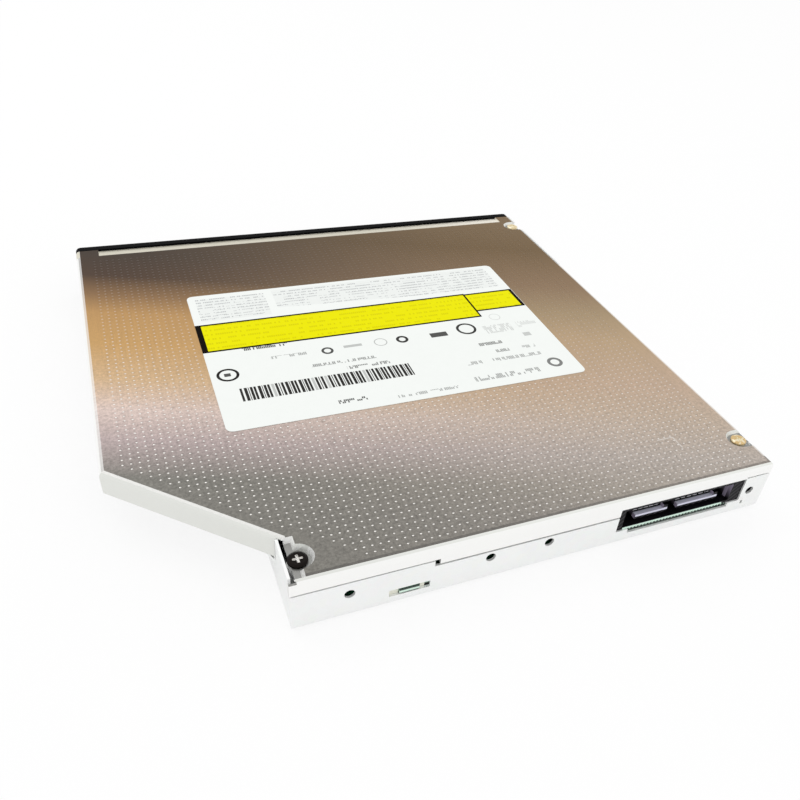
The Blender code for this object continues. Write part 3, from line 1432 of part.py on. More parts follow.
def front_board():
    """Narrow board behind the front wall, with the eject switch on it."""
    back = tray_inner_front + button_travel + sheet_gap + 1.6 * mm
    x0 = lamp_x - 3 * mm
    x1 = tray_skirt_right - tray_wall - sheet_gap
    board = box_mesh((x0, back, tray_skirt_low + mm),
                     (x1, back + small_board_thickness, tray_low - sheet_gap))
    add("front_board", board, green())
    half = switch_width / 2
    tall = half / 1.2
    switch = box_mesh((button_x - half, back - 1.2 * mm, button_z - tall),
                      (button_x + half, back - seat_gap, button_z + tall))
    return add("eject_switch", switch, black())


def latch_post():
    x, y = latch_post_at
    low = floor_top + seat_gap
    edge = 0.2 * mm
    flange = latch_post_radius + latch_foot
    profile = [(0.0, latch_post_high), (latch_post_radius - edge, latch_post_high),
               (latch_post_radius, latch_post_high - edge), (latch_post_radius, low + latch_foot),
               (flange, low + latch_foot), (flange, low), (0.0, low)]
    return turned("latch_post", profile, 16, steel(), (x, y, 0.0))


def latch_lever():
    """Two-armed lever: a hook for the post on one arm, the solenoid's plunger at the other."""
    px, py = latch_pivot
    hook_y = latch_post_at[1] + latch_post_radius + 0.5 * mm
    tip_x = latch_post_at[0] - latch_post_radius - 0.6 * mm
    plan = rounded([(px - 1.8 * mm, py - 2.2 * mm, 1.2 * mm), (px + 1.8 * mm, py - 2.2 * mm, 1.2 * mm),
                    (px + 1.8 * mm, hook_y, 0.3 * mm), (tip_x, hook_y, 0.2 * mm),
                    (tip_x, hook_y + 1.2 * mm, 0.2 * mm), (px + mm, hook_y + 2.4 * mm, 0.8 * mm),
                    (px - 0.6 * mm, hook_y + 2.4 * mm, 0.8 * mm), (px - 0.8 * mm, py + 1.4 * mm, 0.3 * mm),
                    (px - 7.0 * mm, py + 1.2 * mm, 0.6 * mm), (px - 7.0 * mm, py - 1.0 * mm, 0.6 * mm),
                    (px - 2.4 * mm, py - 1.2 * mm, 0.3 * mm)])
    loops = [plan, circle(px, py, lever_pin_radius + running_gap, 16)]
    mesh = outline_mesh(loops, lever_low, lever_low + lever_sheet)
    mesh.transform(Matrix.Translation((-px, -py, 0.0)))
    lever = add("latch_lever", mesh, finish("white_acetal", (0.75, 0.75, 0.73), 0.4, 0.0))
    lever.location = (px, py, 0.0)
    return lever


def latch_base():
    """Moulded plate under the lever that carries its pin and the solenoid."""
    px, py = latch_pivot
    low = tray_skirt_low
    rim = solenoid_rim
    back = py + solenoid_ahead[1] + rim / 2
    plan = rectangle(px - solenoid_reach[0] - rim, px + 3 * rim, py - 3.2 * rim, back, rim)
    base = add("latch_base", outline_mesh([plan], low, low + latch_base_sheet), black())
    pin_high = tray_low - sheet_gap
    join(base, rod_mesh(lever_pin_radius, (px, py, low + 0.2 * mm), (px, py, pin_high), 14), "pivot")
    return base


def solenoid():
    """Coil between two yoke plates, with a plunger that reaches the lever."""
    x0, x1 = (latch_pivot[0] - reach for reach in solenoid_reach)
    y0, y1 = (latch_pivot[1] + ahead for ahead in solenoid_ahead)
    low = tray_skirt_low + latch_base_sheet + seat_gap
    middle_x = (x0 + x1) / 2
    middle_z = (low + solenoid_high) / 2
    winding = rod_mesh((solenoid_high - low) / 2 - 0.3 * mm, (middle_x, y0 + 0.5 * mm, middle_z),
                       (middle_x, y1 - 0.5 * mm, middle_z), 20)
    coil = add("latch_solenoid", winding, finish("copper_winding", (0.60, 0.28, 0.12), 0.4, 0.6))
    for k, y in enumerate((y0, y1 - mm)):
        join(coil, box_mesh((x0, y, low), (x1, y + mm, solenoid_high)), f"yoke_{k}")
    join(coil, box_mesh((x0, y0 + 0.2 * mm, low), (x1, y1 - 0.2 * mm, low + 0.6 * mm)), "yoke_floor")
    return coil


def hold(name, at, pieces):
    """An empty on a joint's axis, carrying the pieces that move with it."""
    empty = bpy.data.objects.new(name, None)
    empty.empty_display_size = 5 * mm
    parts.objects.link(empty)
    empty.location = at
    for piece in pieces:
        item = bpy.data.objects[piece]
        item.parent = empty
        item.matrix_parent_inverse = Matrix.Translation(-Vector(at))
    return empty


def joints():
    """The drawer carries the mechanism. Each moving piece hangs from an empty on its own axis."""
    fixed_on_tray = ["disc_tray", "bezel", "lamp_lens", "tray_bottom_plate", "traverse_frame",
                     "guide_rod_main", "guide_rod_side", "sled_motor", "spindle_stator", "tray_board",
                     "tray_board_chip", "tray_flex_socket", "front_board", "eject_switch", "latch_base",
                     "latch_solenoid"]
    for k in range(len(damper_places)):
        fixed_on_tray += [f"damper_{k + 1}", f"damper_screw_{k + 1}"]
    hold("tray_slide", (0.0, case_front, tray_low), fixed_on_tray)
    hold("rail_left_slide", (-rail_out, case_front, rail_low), ["rail_left"])
    hold("rail_right_slide", (rail_out, case_front, rail_low), ["rail_right"])
    hold("spindle_axis", spindle, ["spindle_rotor", "turntable", "turntable_ring"] + claw_names())
    hold("sled_slide", (*place(lens_near, rod_v), rod_z), ["pickup_sled", "lens_holder", "objective_lens"])
    hold("lead_screw_axis", (*place(0.0, lead_v), rod_z), ["lead_screw"])
    hold("button_slide", (button_x, front, button_z), ["eject_button"])
    hold("latch_axis", (*latch_pivot, lever_low), ["latch_lever"])


def claw_names():
    return [f"hub_claw_{k + 1}" for k in range(claw_count)]


top_cover()
label()
base_chassis()
cover_screws()
rail("rail_left", -1, left_rail_rear)
rail("rail_right", 1, right_rail_rear)
guide("guide_left", -1, left_guide_rear, True)
guide("guide_right", 1, right_guide_rear, False)
disc_tray()
tray_bottom_plate()
traverse_frame()
rods()
pickup_sled()
lens_holder()
objective_lens()
lead_screw()
sled_motor()
spindle_stator()
spindle_rotor()
turntable()
turntable_ring()
hub_claws()
dampers()
main_board()
board_screws()
board_parts()
connector()
flex_cable()
sockets()
tray_board()
bezel()
eject_button()
lamp_lens()
front_board()
latch_post()
latch_lever()
latch_base()
solenoid()
joints()
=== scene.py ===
# Laptop optical drive: finishes, printed label, embossed dots, contacts, chip legs and flat cable
import math
import bpy
import bmesh
import numpy as np
from mathutils import Matrix, Vector

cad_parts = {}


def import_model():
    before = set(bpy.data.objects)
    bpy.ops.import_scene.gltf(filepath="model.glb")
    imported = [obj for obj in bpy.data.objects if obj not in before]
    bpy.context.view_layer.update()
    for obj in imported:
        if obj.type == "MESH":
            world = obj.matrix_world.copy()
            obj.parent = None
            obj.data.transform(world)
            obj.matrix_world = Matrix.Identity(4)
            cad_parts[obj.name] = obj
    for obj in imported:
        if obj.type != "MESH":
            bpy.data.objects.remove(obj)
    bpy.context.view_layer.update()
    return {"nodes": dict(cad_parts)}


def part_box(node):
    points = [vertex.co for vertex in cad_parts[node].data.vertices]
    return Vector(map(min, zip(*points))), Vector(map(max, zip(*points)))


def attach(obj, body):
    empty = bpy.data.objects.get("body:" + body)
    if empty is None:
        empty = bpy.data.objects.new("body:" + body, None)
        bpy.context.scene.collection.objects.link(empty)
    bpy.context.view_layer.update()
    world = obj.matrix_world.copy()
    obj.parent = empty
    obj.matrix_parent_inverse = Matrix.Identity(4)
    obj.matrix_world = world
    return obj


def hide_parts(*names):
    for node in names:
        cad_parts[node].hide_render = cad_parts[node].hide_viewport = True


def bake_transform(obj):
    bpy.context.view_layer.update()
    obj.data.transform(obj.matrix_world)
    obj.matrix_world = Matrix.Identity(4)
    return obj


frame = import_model()
nodes = frame["nodes"]
mm = 0.001
print("frame loaded,", len(nodes), "nodes")


def paint(*colour):                          # a colour as a paint program shows it, 0 to 255
    shares = [c / 255 for c in colour]
    return tuple(s / 12.92 if s <= 10 / 255 else ((s + 0.055) / 1.055) ** 2.4 for s in shares) + (1.0,)



class Wire:                                  # one output socket, used like a number
    def __init__(self, finish, socket):
        self.finish = finish
        self.socket = socket

    def maths(self, operation, other=0.0, flip=False):
        first, second = (other, self) if flip else (self, other)
        return self.finish.node("ShaderNodeMath", {"operation": operation}, {0: first, 1: second})

    def __add__(self, other): return self.maths("ADD", other)
    def __radd__(self, other): return self.maths("ADD", other, True)
    def __sub__(self, other): return self.maths("SUBTRACT", other)
    def __rsub__(self, other): return self.maths("SUBTRACT", other, True)
    def __mul__(self, other): return self.maths("MULTIPLY", other)
    def __rmul__(self, other): return self.maths("MULTIPLY", other, True)
    def __truediv__(self, other): return self.maths("DIVIDE", other)
    def __gt__(self, other): return self.maths("GREATER_THAN", other)
    def __lt__(self, other): return self.maths("LESS_THAN", other)
    def __mod__(self, other): return self.maths("FLOORED_MODULO", other)
    def __abs__(self): return self.maths("ABSOLUTE")
    def floor(self): return self.maths("FLOOR")
    def either(self, other): return self.maths("MAXIMUM", other)


class Finish:                                # one material and its node tree
    def __init__(self, name):
        self.material = bpy.data.materials.new(name)
        self.material.use_nodes = True
        self.tree = self.material.node_tree
        self.tree.nodes.clear()

    def node(self, kind, settings, inputs, output=0):
        made = self.tree.nodes.new(kind)
        for setting, value in settings.items():
            if setting == "stops":
                ramp = made.color_ramp
                while len(ramp.elements) < len(value):
                    ramp.elements.new(0.5)
                for element, (position, colour) in zip(ramp.elements, value):
                    element.position = position
                    element.color = colour
            else:
                setattr(made, setting, value)
        for name, value in inputs.items():
            if isinstance(value, Wire):
                self.tree.links.new(value.socket, made.inputs[name])
            else:
                socket = made.inputs[name]
                socket.default_value = value[:3] if socket.type == "VECTOR" else value
        return Wire(self, made.outputs[output])

    def point(self):                         # place on the object in millimetres
        spot = self.node("ShaderNodeTexCoord", {}, {}, "Object")
        return self.node("ShaderNodeVectorMath", {"operation": "SCALE"}, {0: spot, "Scale": 1000.0})

    def parts(self, vector):
        return [self.node("ShaderNodeSeparateXYZ", {}, {0: vector}, axis) for axis in "XYZ"]

    def facing(self):                        # how far the surface faces along x, y and z
        return self.parts(self.node("ShaderNodeTexCoord", {}, {}, "Normal"))

    def vector(self, x, y, z):
        return self.node("ShaderNodeCombineXYZ", {}, {0: x, 1: y, 2: z})

    def ease(self, value, low, high):        # 0 below low, 1 above high
        return self.node("ShaderNodeMapRange", {"interpolation_type": "SMOOTHSTEP"},
                         {"Value": value, "From Min": low, "From Max": high})

    def noise(self, vector, scale, detail=2.0, roughness=0.5):
        return self.node("ShaderNodeTexNoise", {},
                         {"Vector": vector, "Scale": scale, "Detail": detail, "Roughness": roughness})

    def speckle(self, vector):               # one random value for each whole-number cell
        return self.node("ShaderNodeTexWhiteNoise", {}, {"Vector": vector})

    def mix(self, factor, low, high, blend="MIX"):
        return self.node("ShaderNodeMix", {"data_type": "RGBA", "blend_type": blend},
                         {0: factor, 6: low, 7: high}, 2)

    def shade(self, colour, value):          # colour made lighter or darker by value
        return self.node("ShaderNodeVectorMath", {"operation": "SCALE"}, {0: colour, "Scale": value})

    def ramp(self, value, stops):
        return self.node("ShaderNodeValToRGB", {"stops": stops}, {0: value})

    def bump(self, height, distance, strength=1.0):
        return self.node("ShaderNodeBump", {}, {"Height": height, "Distance": distance, "Strength": strength})

    def band(self, value, low, high):        # 1 between low and high
        return abs(value - (low + high) / 2) < (high - low) / 2

    def patch(self, x, y, left, right, front, rear):
        return self.band(x, left, right) * self.band(y, front, rear)

    def distance(self, x, y, centreX, centreY):
        return ((x - centreX) * (x - centreX) + (y - centreY) * (y - centreY)).maths("POWER", 0.5)

    def surface(self, **sockets):
        named = {name.replace("_", " "): value for name, value in sockets.items()}
        return self.output(self.node("ShaderNodeBsdfPrincipled", {}, named))

    def output(self, shader):
        made = self.tree.nodes.new("ShaderNodeOutputMaterial")
        self.tree.links.new(shader.socket, made.inputs["Surface"])
        return self.material


def anyOf(masks):                            # the strongest of several masks
    strongest = masks[0]
    for mask in masks[1:]:
        strongest = strongest.either(mask)
    return strongest


def wear(piece, material):
    piece.data.materials.clear()
    piece.data.materials.append(material)


def newPiece(name, points, faces, body, material, smooth=False):
    mesh = bpy.data.meshes.new(name)
    mesh.from_pydata(points, [], faces)
    mesh.validate()
    mesh.polygons.foreach_set("use_smooth", [smooth] * len(mesh.polygons))
    piece = bpy.data.objects.new(name, mesh)
    bpy.context.scene.collection.objects.link(piece)
    piece.data.materials.append(material)
    if body:
        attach(piece, body)
    return piece


# Cover steel: a brushed top whose colour holds passivation tint and painted reflection, and bent sides painted bright
# as reflection
coverLook = {
    "slant": 0.34,                           # how far the lines of the tint and painted reflection lean
    "low": -85.0,
    "high": 90.0,
    "rightReflectionTint": [(-40, (52, 34, 14)), (-27, (70, 46, 24)), (-17, (140, 106, 68)), (-8, (189, 147, 92)),
                  (6, (199, 158, 101)), (20, (207, 176, 138)), (31, (211, 192, 183)), (41, (178, 163, 161)),
                  (52, (124, 122, 116)), (80, (118, 117, 111))],
    "leftReflectionTint": [(-79, (120, 95, 58)), (-57, (114, 88, 48)), (-34, (145, 118, 88)), (-19, (170, 147, 114)),
                 (-5, (190, 164, 132)), (15, (196, 172, 150)), (26, (195, 176, 157)), (42, (185, 175, 166)),
                 (52, (174, 165, 155)), (62, (160, 153, 146))],
    "tintEdge": 62.0,                        # the two tints with their painted reflection blend across the whole width
    # the bent sides: painted reflection, near-white; the slanted side a little darker as painted shade
    "side": (251, 251, 249),
    "slantSideShade": (230, 231, 226),
    "slantFacing": (0.5, 0.9),
    "rearFold": 62.0,
    "bend": (92, 90, 88),                    # painted shade: the thin dark line where the top folds down
    "strip": (222, 217, 200),                # the sloped strip behind the front panel
    "stripEnd": (246, 241, 228),
    "stripFade": (-20.0, -58.0),
    "stripRear": -58.0,
    "stripTop": 12.58,
    "pocketFloor": (150, 150, 147),
    "pocketFade": (12.25, 12.05),
    "glintFrom": 1.66,                       # light caught on the near side of the rear left pocket
    "mark": (-47.5, -43.5, 51.0, 54.6),      # the faint scratched corner mark
    "markLine": 0.15,
    "markColour": (238, 236, 232),
}


# the top's colour: zinc passivation tint with painted reflection, in bands across the cover
def coverTintAndReflection(finish, x, y):
    look = coverLook
    reach = look["high"] - look["low"]

    def stops(tints):
        return [((at - look["low"]) / reach, paint(*tint)) for at, tint in tints]
    along = (y + x * look["slant"] - look["low"]) / reach
    side = finish.ease(x, -look["tintEdge"], look["tintEdge"])
    return finish.mix(side, finish.ramp(along, stops(look["leftReflectionTint"])), finish.ramp(along, stops(look["rightReflectionTint"])))


def brushed(finish, x, y, z):                # fine lines along y
    return finish.noise(finish.vector(x * 7.0, y * 0.22, z * 7.0), 1.0, 3.0, 0.6)


def coverSteel():
    look = coverLook
    f = Finish("cover steel")
    x, y, z = f.parts(f.point())
    faceX, faceY, up = f.facing()
    grain = brushed(f, x, y, z)
    cloud = f.noise(f.vector(x, y, z), 0.06, 2.0)
    speck = f.noise(f.vector(x * 4.2, y * 1.3, z), 1.0, 3.0, 0.7)
    streak = f.noise(f.vector(x * 1.35, y * 0.09, z), 1.0, 2.0, 0.6)
    blotch = f.noise(f.vector(x, y, z), 1.5, 3.0, 0.7)
    near = f.ease(y + x * look["slant"], -10.0, 40.0)                    # the near half is blotchy
    light = grain * 0.18 + 0.69 + cloud * 0.04 + speck * 0.27 + streak * 0.14
    top = f.shade(coverTintAndReflection(f, x, y), light + (blotch - 0.5) * near * 1.3)

    rear = y > look["rearFold"]
    flat = f.ease(up, 0.94 - rear * 0.14, 0.995 - rear * 0.025)          # the other folds take the sides' painted reflection up to the top
    # bent sides painted bright as reflection, the slanted side with painted shade
    slanted = f.band(faceY, *look["slantFacing"])
    side = f.shade(f.mix(slanted, paint(*look["side"]), paint(*look["slantSideShade"])), grain * 0.05 + 0.965)
    # painted shade along the rear fold
    colour = f.mix(f.band(up, 0.8, 0.985) * rear * 0.5, top, paint(*look["bend"]))

    glint = f.ease(blotch + y * 0.02, look["glintFrom"], look["glintFrom"] + 0.12) * (x < 0)
    pocketTone = f.mix(glint, paint(*look["pocketFloor"]), paint(*look["side"]))
    colour = f.mix(f.ease(z, *look["pocketFade"]), colour, f.shade(pocketTone, grain * 0.2 + 0.9))

    left, right, low, high = look["mark"]
    line = look["markLine"]
    mark = f.patch(x, y, left - line, left + line, low, high)
    mark = mark.either(f.patch(x, y, left, right, low - line, low + line))
    colour = f.mix(mark * 0.5, colour, paint(*look["markColour"]))

    slope = (y < look["stripRear"]) * (z < look["stripTop"])
    slopeTone = f.mix(f.ease(x, *look["stripFade"]), paint(*look["strip"]), paint(*look["stripEnd"]))
    # the flat top keeps its tint, the bent sides their painted reflection
    colour = f.mix(flat * (1 - slope), f.mix(slope, side, slopeTone), colour)
    wave = f.noise(f.vector(x, y, z), 0.035, 1.0)
    normal = f.bump(grain * 0.012 + wave * 0.25 - mark * 0.05, 0.001, 0.5)
    return f.surface(Base_Color=colour, Metallic=flat * 0.5 + 0.35, Roughness=grain * 0.12 + 0.3, Normal=normal)


# Embossed dots on the cover
dotLook = {
    "pitch": 1.485,
    "cell": 0.6734,                          # about one brightness for each dot
    # colour of the painted highlight on the dots
    "lit": (250, 247, 242),
    "firstX": 27.15,
    "columns": (-70, 30),                    # counted from the first
    "rearY": 62.37,
    "rows": 90,
    "leftX": -60.4,
    "rightX": 60.5,
    "frontY": -55.4,
    "slantFront": (64.0, 29.2),              # the ends of the cover's slanted edge
    "slantRear": (37.2, 54.76),
    "slantRoom": 2.8,
    "labelRoom": (0.5, 0.8, 0.8, 1.7),       # left, right, front and rear of the label
    "screws": [(35.3, 59.5, 3.9), (-61.7, 55.7, 3.7), (-61.7, -54.6, 3.7)],       # place and room
    "radius": 0.28,
    "height": 0.07,
    "shoulder": (0.5, 0.78),                 # shares of the radius and the height
    "sunk": 0.01,
    "around": 8,
}


def dotSteel():
    f = Finish("embossed dots")
    x, y, z = f.parts(f.point())
    # the painted highlight is stronger on the near half
    near = f.ease(y + x * coverLook["slant"], -35.0, 45.0) * (1 - f.ease(x, 10.0, -50.0) * 0.08)
    cells = f.speckle(f.vector((x * dotLook["cell"]).floor(), (y * dotLook["cell"]).floor(), 0.0))
    lit = f.ease(f.facing()[1], -0.25, 0.1)                              # painted highlight on the near side of each dot, painted shade on the far side
    dotHighlight = lit * (near * 0.68 + 0.08 + cells * near * 0.35)
    colour = f.mix(dotHighlight, f.shade(coverTintAndReflection(f, x, y), lit * 0.3 + 0.7), paint(*dotLook["lit"]))
    grain = brushed(f, x, y, z)
    return f.surface(Base_Color=colour, Metallic=0.8, Roughness=grain * 0.12 + 0.24)


def coverDots(material):
    look = dotLook
    columns = look["firstX"] + look["pitch"] * np.arange(*look["columns"])
    rows = look["rearY"] - look["pitch"] * np.arange(0, look["rows"])
    x, y = [a.ravel() for a in np.meshgrid(columns, rows)]
    keep = (x < look["rightX"]) & (x > look["leftX"]) & (y > look["frontY"])

    frontX, frontY = look["slantFront"]
    rearX, rearY = look["slantRear"]
    slantAway = np.array([rearY - frontY, frontX - rearX])
    slantAway /= np.linalg.norm(slantAway)
    keep &= (x - frontX) * slantAway[0] + (y - frontY) * slantAway[1] < -look["slantRoom"]

    lo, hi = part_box("label")
    left, right, front, rear = look["labelRoom"]
    keep &= ~((x > lo.x / mm - left) & (x < hi.x / mm + right) & (y > lo.y / mm - front) & (y < hi.y / mm + rear))
    for screwX, screwY, room in look["screws"]:
        keep &= np.hypot(x - screwX, y - screwY) > room
    x, y = x[keep], y[keep]

    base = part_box("top_cover")[1].z / mm
    n = look["around"]
    turn = np.arange(n) * 2 * math.pi / n
    shape = [(0.0, 0.0, look["height"])]
    inner, high = look["shoulder"]
    for share, z in ((inner, look["height"] * high), (1.0, -look["sunk"])):
        shape += [(look["radius"] * share * math.cos(a), look["radius"] * share * math.sin(a), z) for a in turn]
    shape = np.array(shape)
    faces = [(0, 1 + i, 1 + (i + 1) % n) for i in range(n)]
    faces += [(1 + i, 1 + n + i, 1 + n + (i + 1) % n, 1 + (i + 1) % n) for i in range(n)]
    faces += [tuple(range(2 * n, n, -1))]
    points = np.concatenate([shape + (px, py, base) for px, py in zip(x, y)]) * mm
    allFaces = [tuple(i * len(shape) + v for v in face) for i in range(len(x)) for face in faces]
    print("dots on the cover:", len(x))
    return newPiece("cover_dots", points.tolist(), allFaces, "chassis", material, smooth=True)


# Bright and zinc-plated steel for the chassis, rails, rods and screws
def steel(name, colour, rough=0.3, metal=0.85, grainX=5.0, grainY=0.3, spangle=0.0, under=0.0):
    f = Finish(name)
    x, y, z = f.parts(f.point())
    grain = f.noise(f.vector(x * grainX, y * grainY, z * grainX), 1.0, 3.0, 0.6)
    cloud = f.noise(f.vector(x, y, z), 0.08, 3.0)
    tone = f.shade(paint(*colour), grain * 0.07 + cloud * 0.06 + 0.93)
    if spangle:                              # the flowered pattern of zinc
        cell = f.node("ShaderNodeTexVoronoi", {}, {"Vector": f.vector(x, y, z), "Scale": 0.6}, "Color")
        below = f.facing()[2] < -0.5                                     # painted shade on faces that look down, the flowers plainer there
        tone = f.mix(below * under * 2 + spangle, tone, cell, "SOFT_LIGHT")
        tone = f.shade(tone, 1 - below * under)
    normal = f.bump(grain * 0.01 + cloud * 0.1, 0.001, 0.4)
    return f.surface(Base_Color=tone, Metallic=metal, Roughness=grain * 0.14 + rough, Normal=normal)


def plastic(name, colour, rough, texture, depth, shine=0.5):
    f = Finish(name)
    x, y, z = f.parts(f.point())
    spot = f.vector(x, y, z)
    pebble = f.noise(spot, texture, 3.0, 0.6)
    cloud = f.noise(spot, 0.12, 2.0)
    tone = f.shade(paint(*colour), pebble * 0.16 + cloud * 0.1 + 0.87)
    return f.surface(Base_Color=tone, Roughness=pebble * 0.15 + rough, Specular_IOR_Level=shine,
                     Normal=f.bump(pebble * depth, 0.001, 0.6))


# Connector at the rear, with two flat tongues
connectorLook = {
    "powerBlades": (6, 1.5, -46.7),          # count, pitch, middle
    "signalBlades": (5, 1.32, -35.1),
    "bladeWidth": 1.1,
    "tongueHigh": 5.8,
    "tongues": (-53.5, -30.0),               # from the one's far side to the other's
    "front": 61.1,
    "rear": 62.12,
    "rimRear": 62.7,
    "tongueLitFrom": 62.4,                        # painted highlight on the tongue tops from here to the tip, painted shade behind
    "ribPitch": 1.3,
    "black": (9, 8, 12),
    # painted highlight on the ribs
    "rib": (60, 58, 62),
    # painted highlight on the inner cheeks
    "cheek": (168, 158, 180),
    "cheekFade": (4.0, 8.6),                 # the cheeks' painted highlight fades to painted shade towards the opening's floor
    # painted highlight on the tongue tops and tips
    "tongue": (226, 226, 244),
}


def connectorBlack():                        # ribbed rim with painted highlight on the ribs; painted highlight on the inner cheeks and tongue ends, painted shade deeper in
    look = connectorLook
    f = Finish("connector black")
    x, y, z = f.parts(f.point())
    faceX, faceY, faceZ = f.facing()
    pebble = f.noise(f.vector(x, y, z), 2.0, 3.0, 0.6)
    rim, high, pale = look["rimRear"], look["tongueHigh"], look["tongueLitFrom"]
    # rib stripes painted lighter: painted highlight on the serrations
    ribs = f.band((z + x * 0.8) / look["ribPitch"] % 1.0, 0.0, 0.3) * (faceY > 0.5) * (y > rim)
    tone = f.mix(ribs * 0.85, paint(*look["black"]), paint(*look["rib"]))
    # painted highlight on the inner cheeks, fading to painted shade further in and lower down
    cheek = f.ease(y, rim - 4.0, rim + 0.6) * f.ease(z, *look["cheekFade"])
    cheek = cheek.either(f.band(y, rim - 0.3, rim + 0.6))
    tone = f.mix((faceX > 0.5) * cheek, tone, paint(*look["cheek"]))
    # painted highlight on the tongue tops and tips, painted shade on the tops further in
    top = (faceZ > 0.5) * f.band(z, high - 0.3, high + 0.3)
    tip = (faceY > 0.5) * f.band(z, high - 0.5, high + 0.1) * f.band(x, *look["tongues"])
    tone = f.mix(tip.either(top * f.ease(y, pale - 0.1, pale + 0.3)), tone, paint(*look["tongue"]))
    tone = f.shade(tone, pebble * 0.16 + 0.87)
    return f.surface(Base_Color=tone, Roughness=pebble * 0.15 + 0.45, Specular_IOR_Level=0.15,
                     Normal=f.bump(pebble * 0.01 + ribs * 0.05, 0.001, 0.6))


def screwFinish(name, node, body, crossHighlight, glint=0.6):                   # turned rings, a painted highlight inside the cross and painted glints
    lo, hi = [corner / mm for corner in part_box(node)]
    centreX, centreY = (lo.x + hi.x) / 2, (lo.y + hi.y) / 2
    crossSize, crossDeep = 1.15, 0.04
    f = Finish(name)
    x, y, z = f.parts(f.point())
    away = f.distance(x, y, centreX, centreY)
    grain = f.noise(f.vector(x, y, z), 6.0, 3.0, 0.6)
    rings = f.noise(f.vector(away * 7.0, 0.0, 0.0), 1.0, 2.0)
    cross = (away < crossSize) * (z < hi.z - crossDeep)
    tone = f.shade(paint(*body), rings * 0.5 + grain * 0.6 + 0.45)
    glints = f.ease(f.noise(f.vector(x, y, z), 1.1, 1.0), 0.5, 0.62) * glint
    tone = f.mix(glints.either(cross * f.ease(grain, 0.3, 0.5)), tone, paint(*crossHighlight))
    return f.surface(Base_Color=tone, Metallic=0.85 - cross * 0.8, Roughness=grain * 0.2 + 0.22,
                     Normal=f.bump(grain * 0.03 + rings * 0.02, 0.001, 0.5))


# Label: white film with a yellow field, fine print rows and a stripe code
labelLook = {
    "film": (243, 246, 243),
    "ink": (12, 6, 2),
    "grey": (126, 128, 134),
    "yellow": (236, 231, 0),
    "yellowPrint": (176, 158, 0),
    "fields": [(-27.9, 39.15, -16.5, -5.6, 0.45, 1.25),        # left, right, front, rear, line at left and right
               (-41.3, -28.4, -16.2, -8.3, 0.9, 0.3)],
    "line": 0.6,
    "rightBlock": (22.0, 38.6, -29.2, -18.4),
    "leftBlock": (-39.8, 20.0, -29.9, -18.8),
    "code": (-2.6, 35.6, 10.2, 14.9),
    "codeGroup": 2.9,
    "codePlain": [(0.02, 0.2, 1.0), (0.3, 0.37, 1.0), (0.46, 0.64, 1.0), (0.72, 0.92, 0.4)],
    "codeDense": [(0.04, 0.21, 1.0), (0.28, 0.47, 1.0), (0.55, 0.61, 1.0), (0.68, 0.9, 1.0)],
    "rings": [(36.7, 4.6, 2.4, 0.62, 0.98), (-21.9, -0.5, 2.55, 0.65, 0.95), (-36.6, 18.6, 1.9, 0.8, 0.75),
              (0.6, 0.1, 1.6, 0.25, 0.45), (-31.4, -4.1, 1.5, 0.2, 0.25), (-4.8, 0.2, 1.5, 0.7, 0.95),
              (13.6, 0.6, 1.4, 0.6, 0.9)],
    "bars": [(36.1, 37.5, 4.0, 5.2, 0.9), (-16.4, -12.0, -0.6, 1.3, 0.9), (5.2, 9.6, -0.5, 0.5, 0.4),
             (-36.9, -34.9, 4.6, 6.2, 0.35)],
    "rows": [(21.3, 32.2, -5.0, -3.9, 0.85), (18.4, 26.5, -0.2, 0.9, 0.5), (3.2, 18.6, 5.2, 6.3, 0.6),
             (1.2, 11.3, 7.9, 9.1, 0.7), (10.4, 16.7, 19.7, 21.0, 0.85), (-10.3, 3.9, 21.3, 22.3, 0.5),
             (-28.1, -21.9, 6.5, 7.8, 0.7), (-28.3, -24.5, 10.1, 11.3, 0.6), (-35.4, -31.9, 10.0, 11.2, 0.45),
             (-35.1, -15.8, 13.4, 14.7, 0.5), (-33.7, -26.2, -0.6, 3.0, 0.25), (-40.8, -35.4, -0.6, 2.0, 0.2),
             (-31.5, -15.0, 19.4, 21.2, 0.55)],
}


def dashes(finish, x, y, height, length):    # word-like broken strokes, with gaps between the words
    row = (y / height).floor()
    letter = finish.speckle(finish.vector((x / length).floor(), row, 3.0))
    word = finish.speckle(finish.vector((x / (length * 7)).floor(), row, 9.0))
    return (letter > 0.34) * (word > 0.16) * finish.band((x / length) % 1.0, 0.12, 0.9)


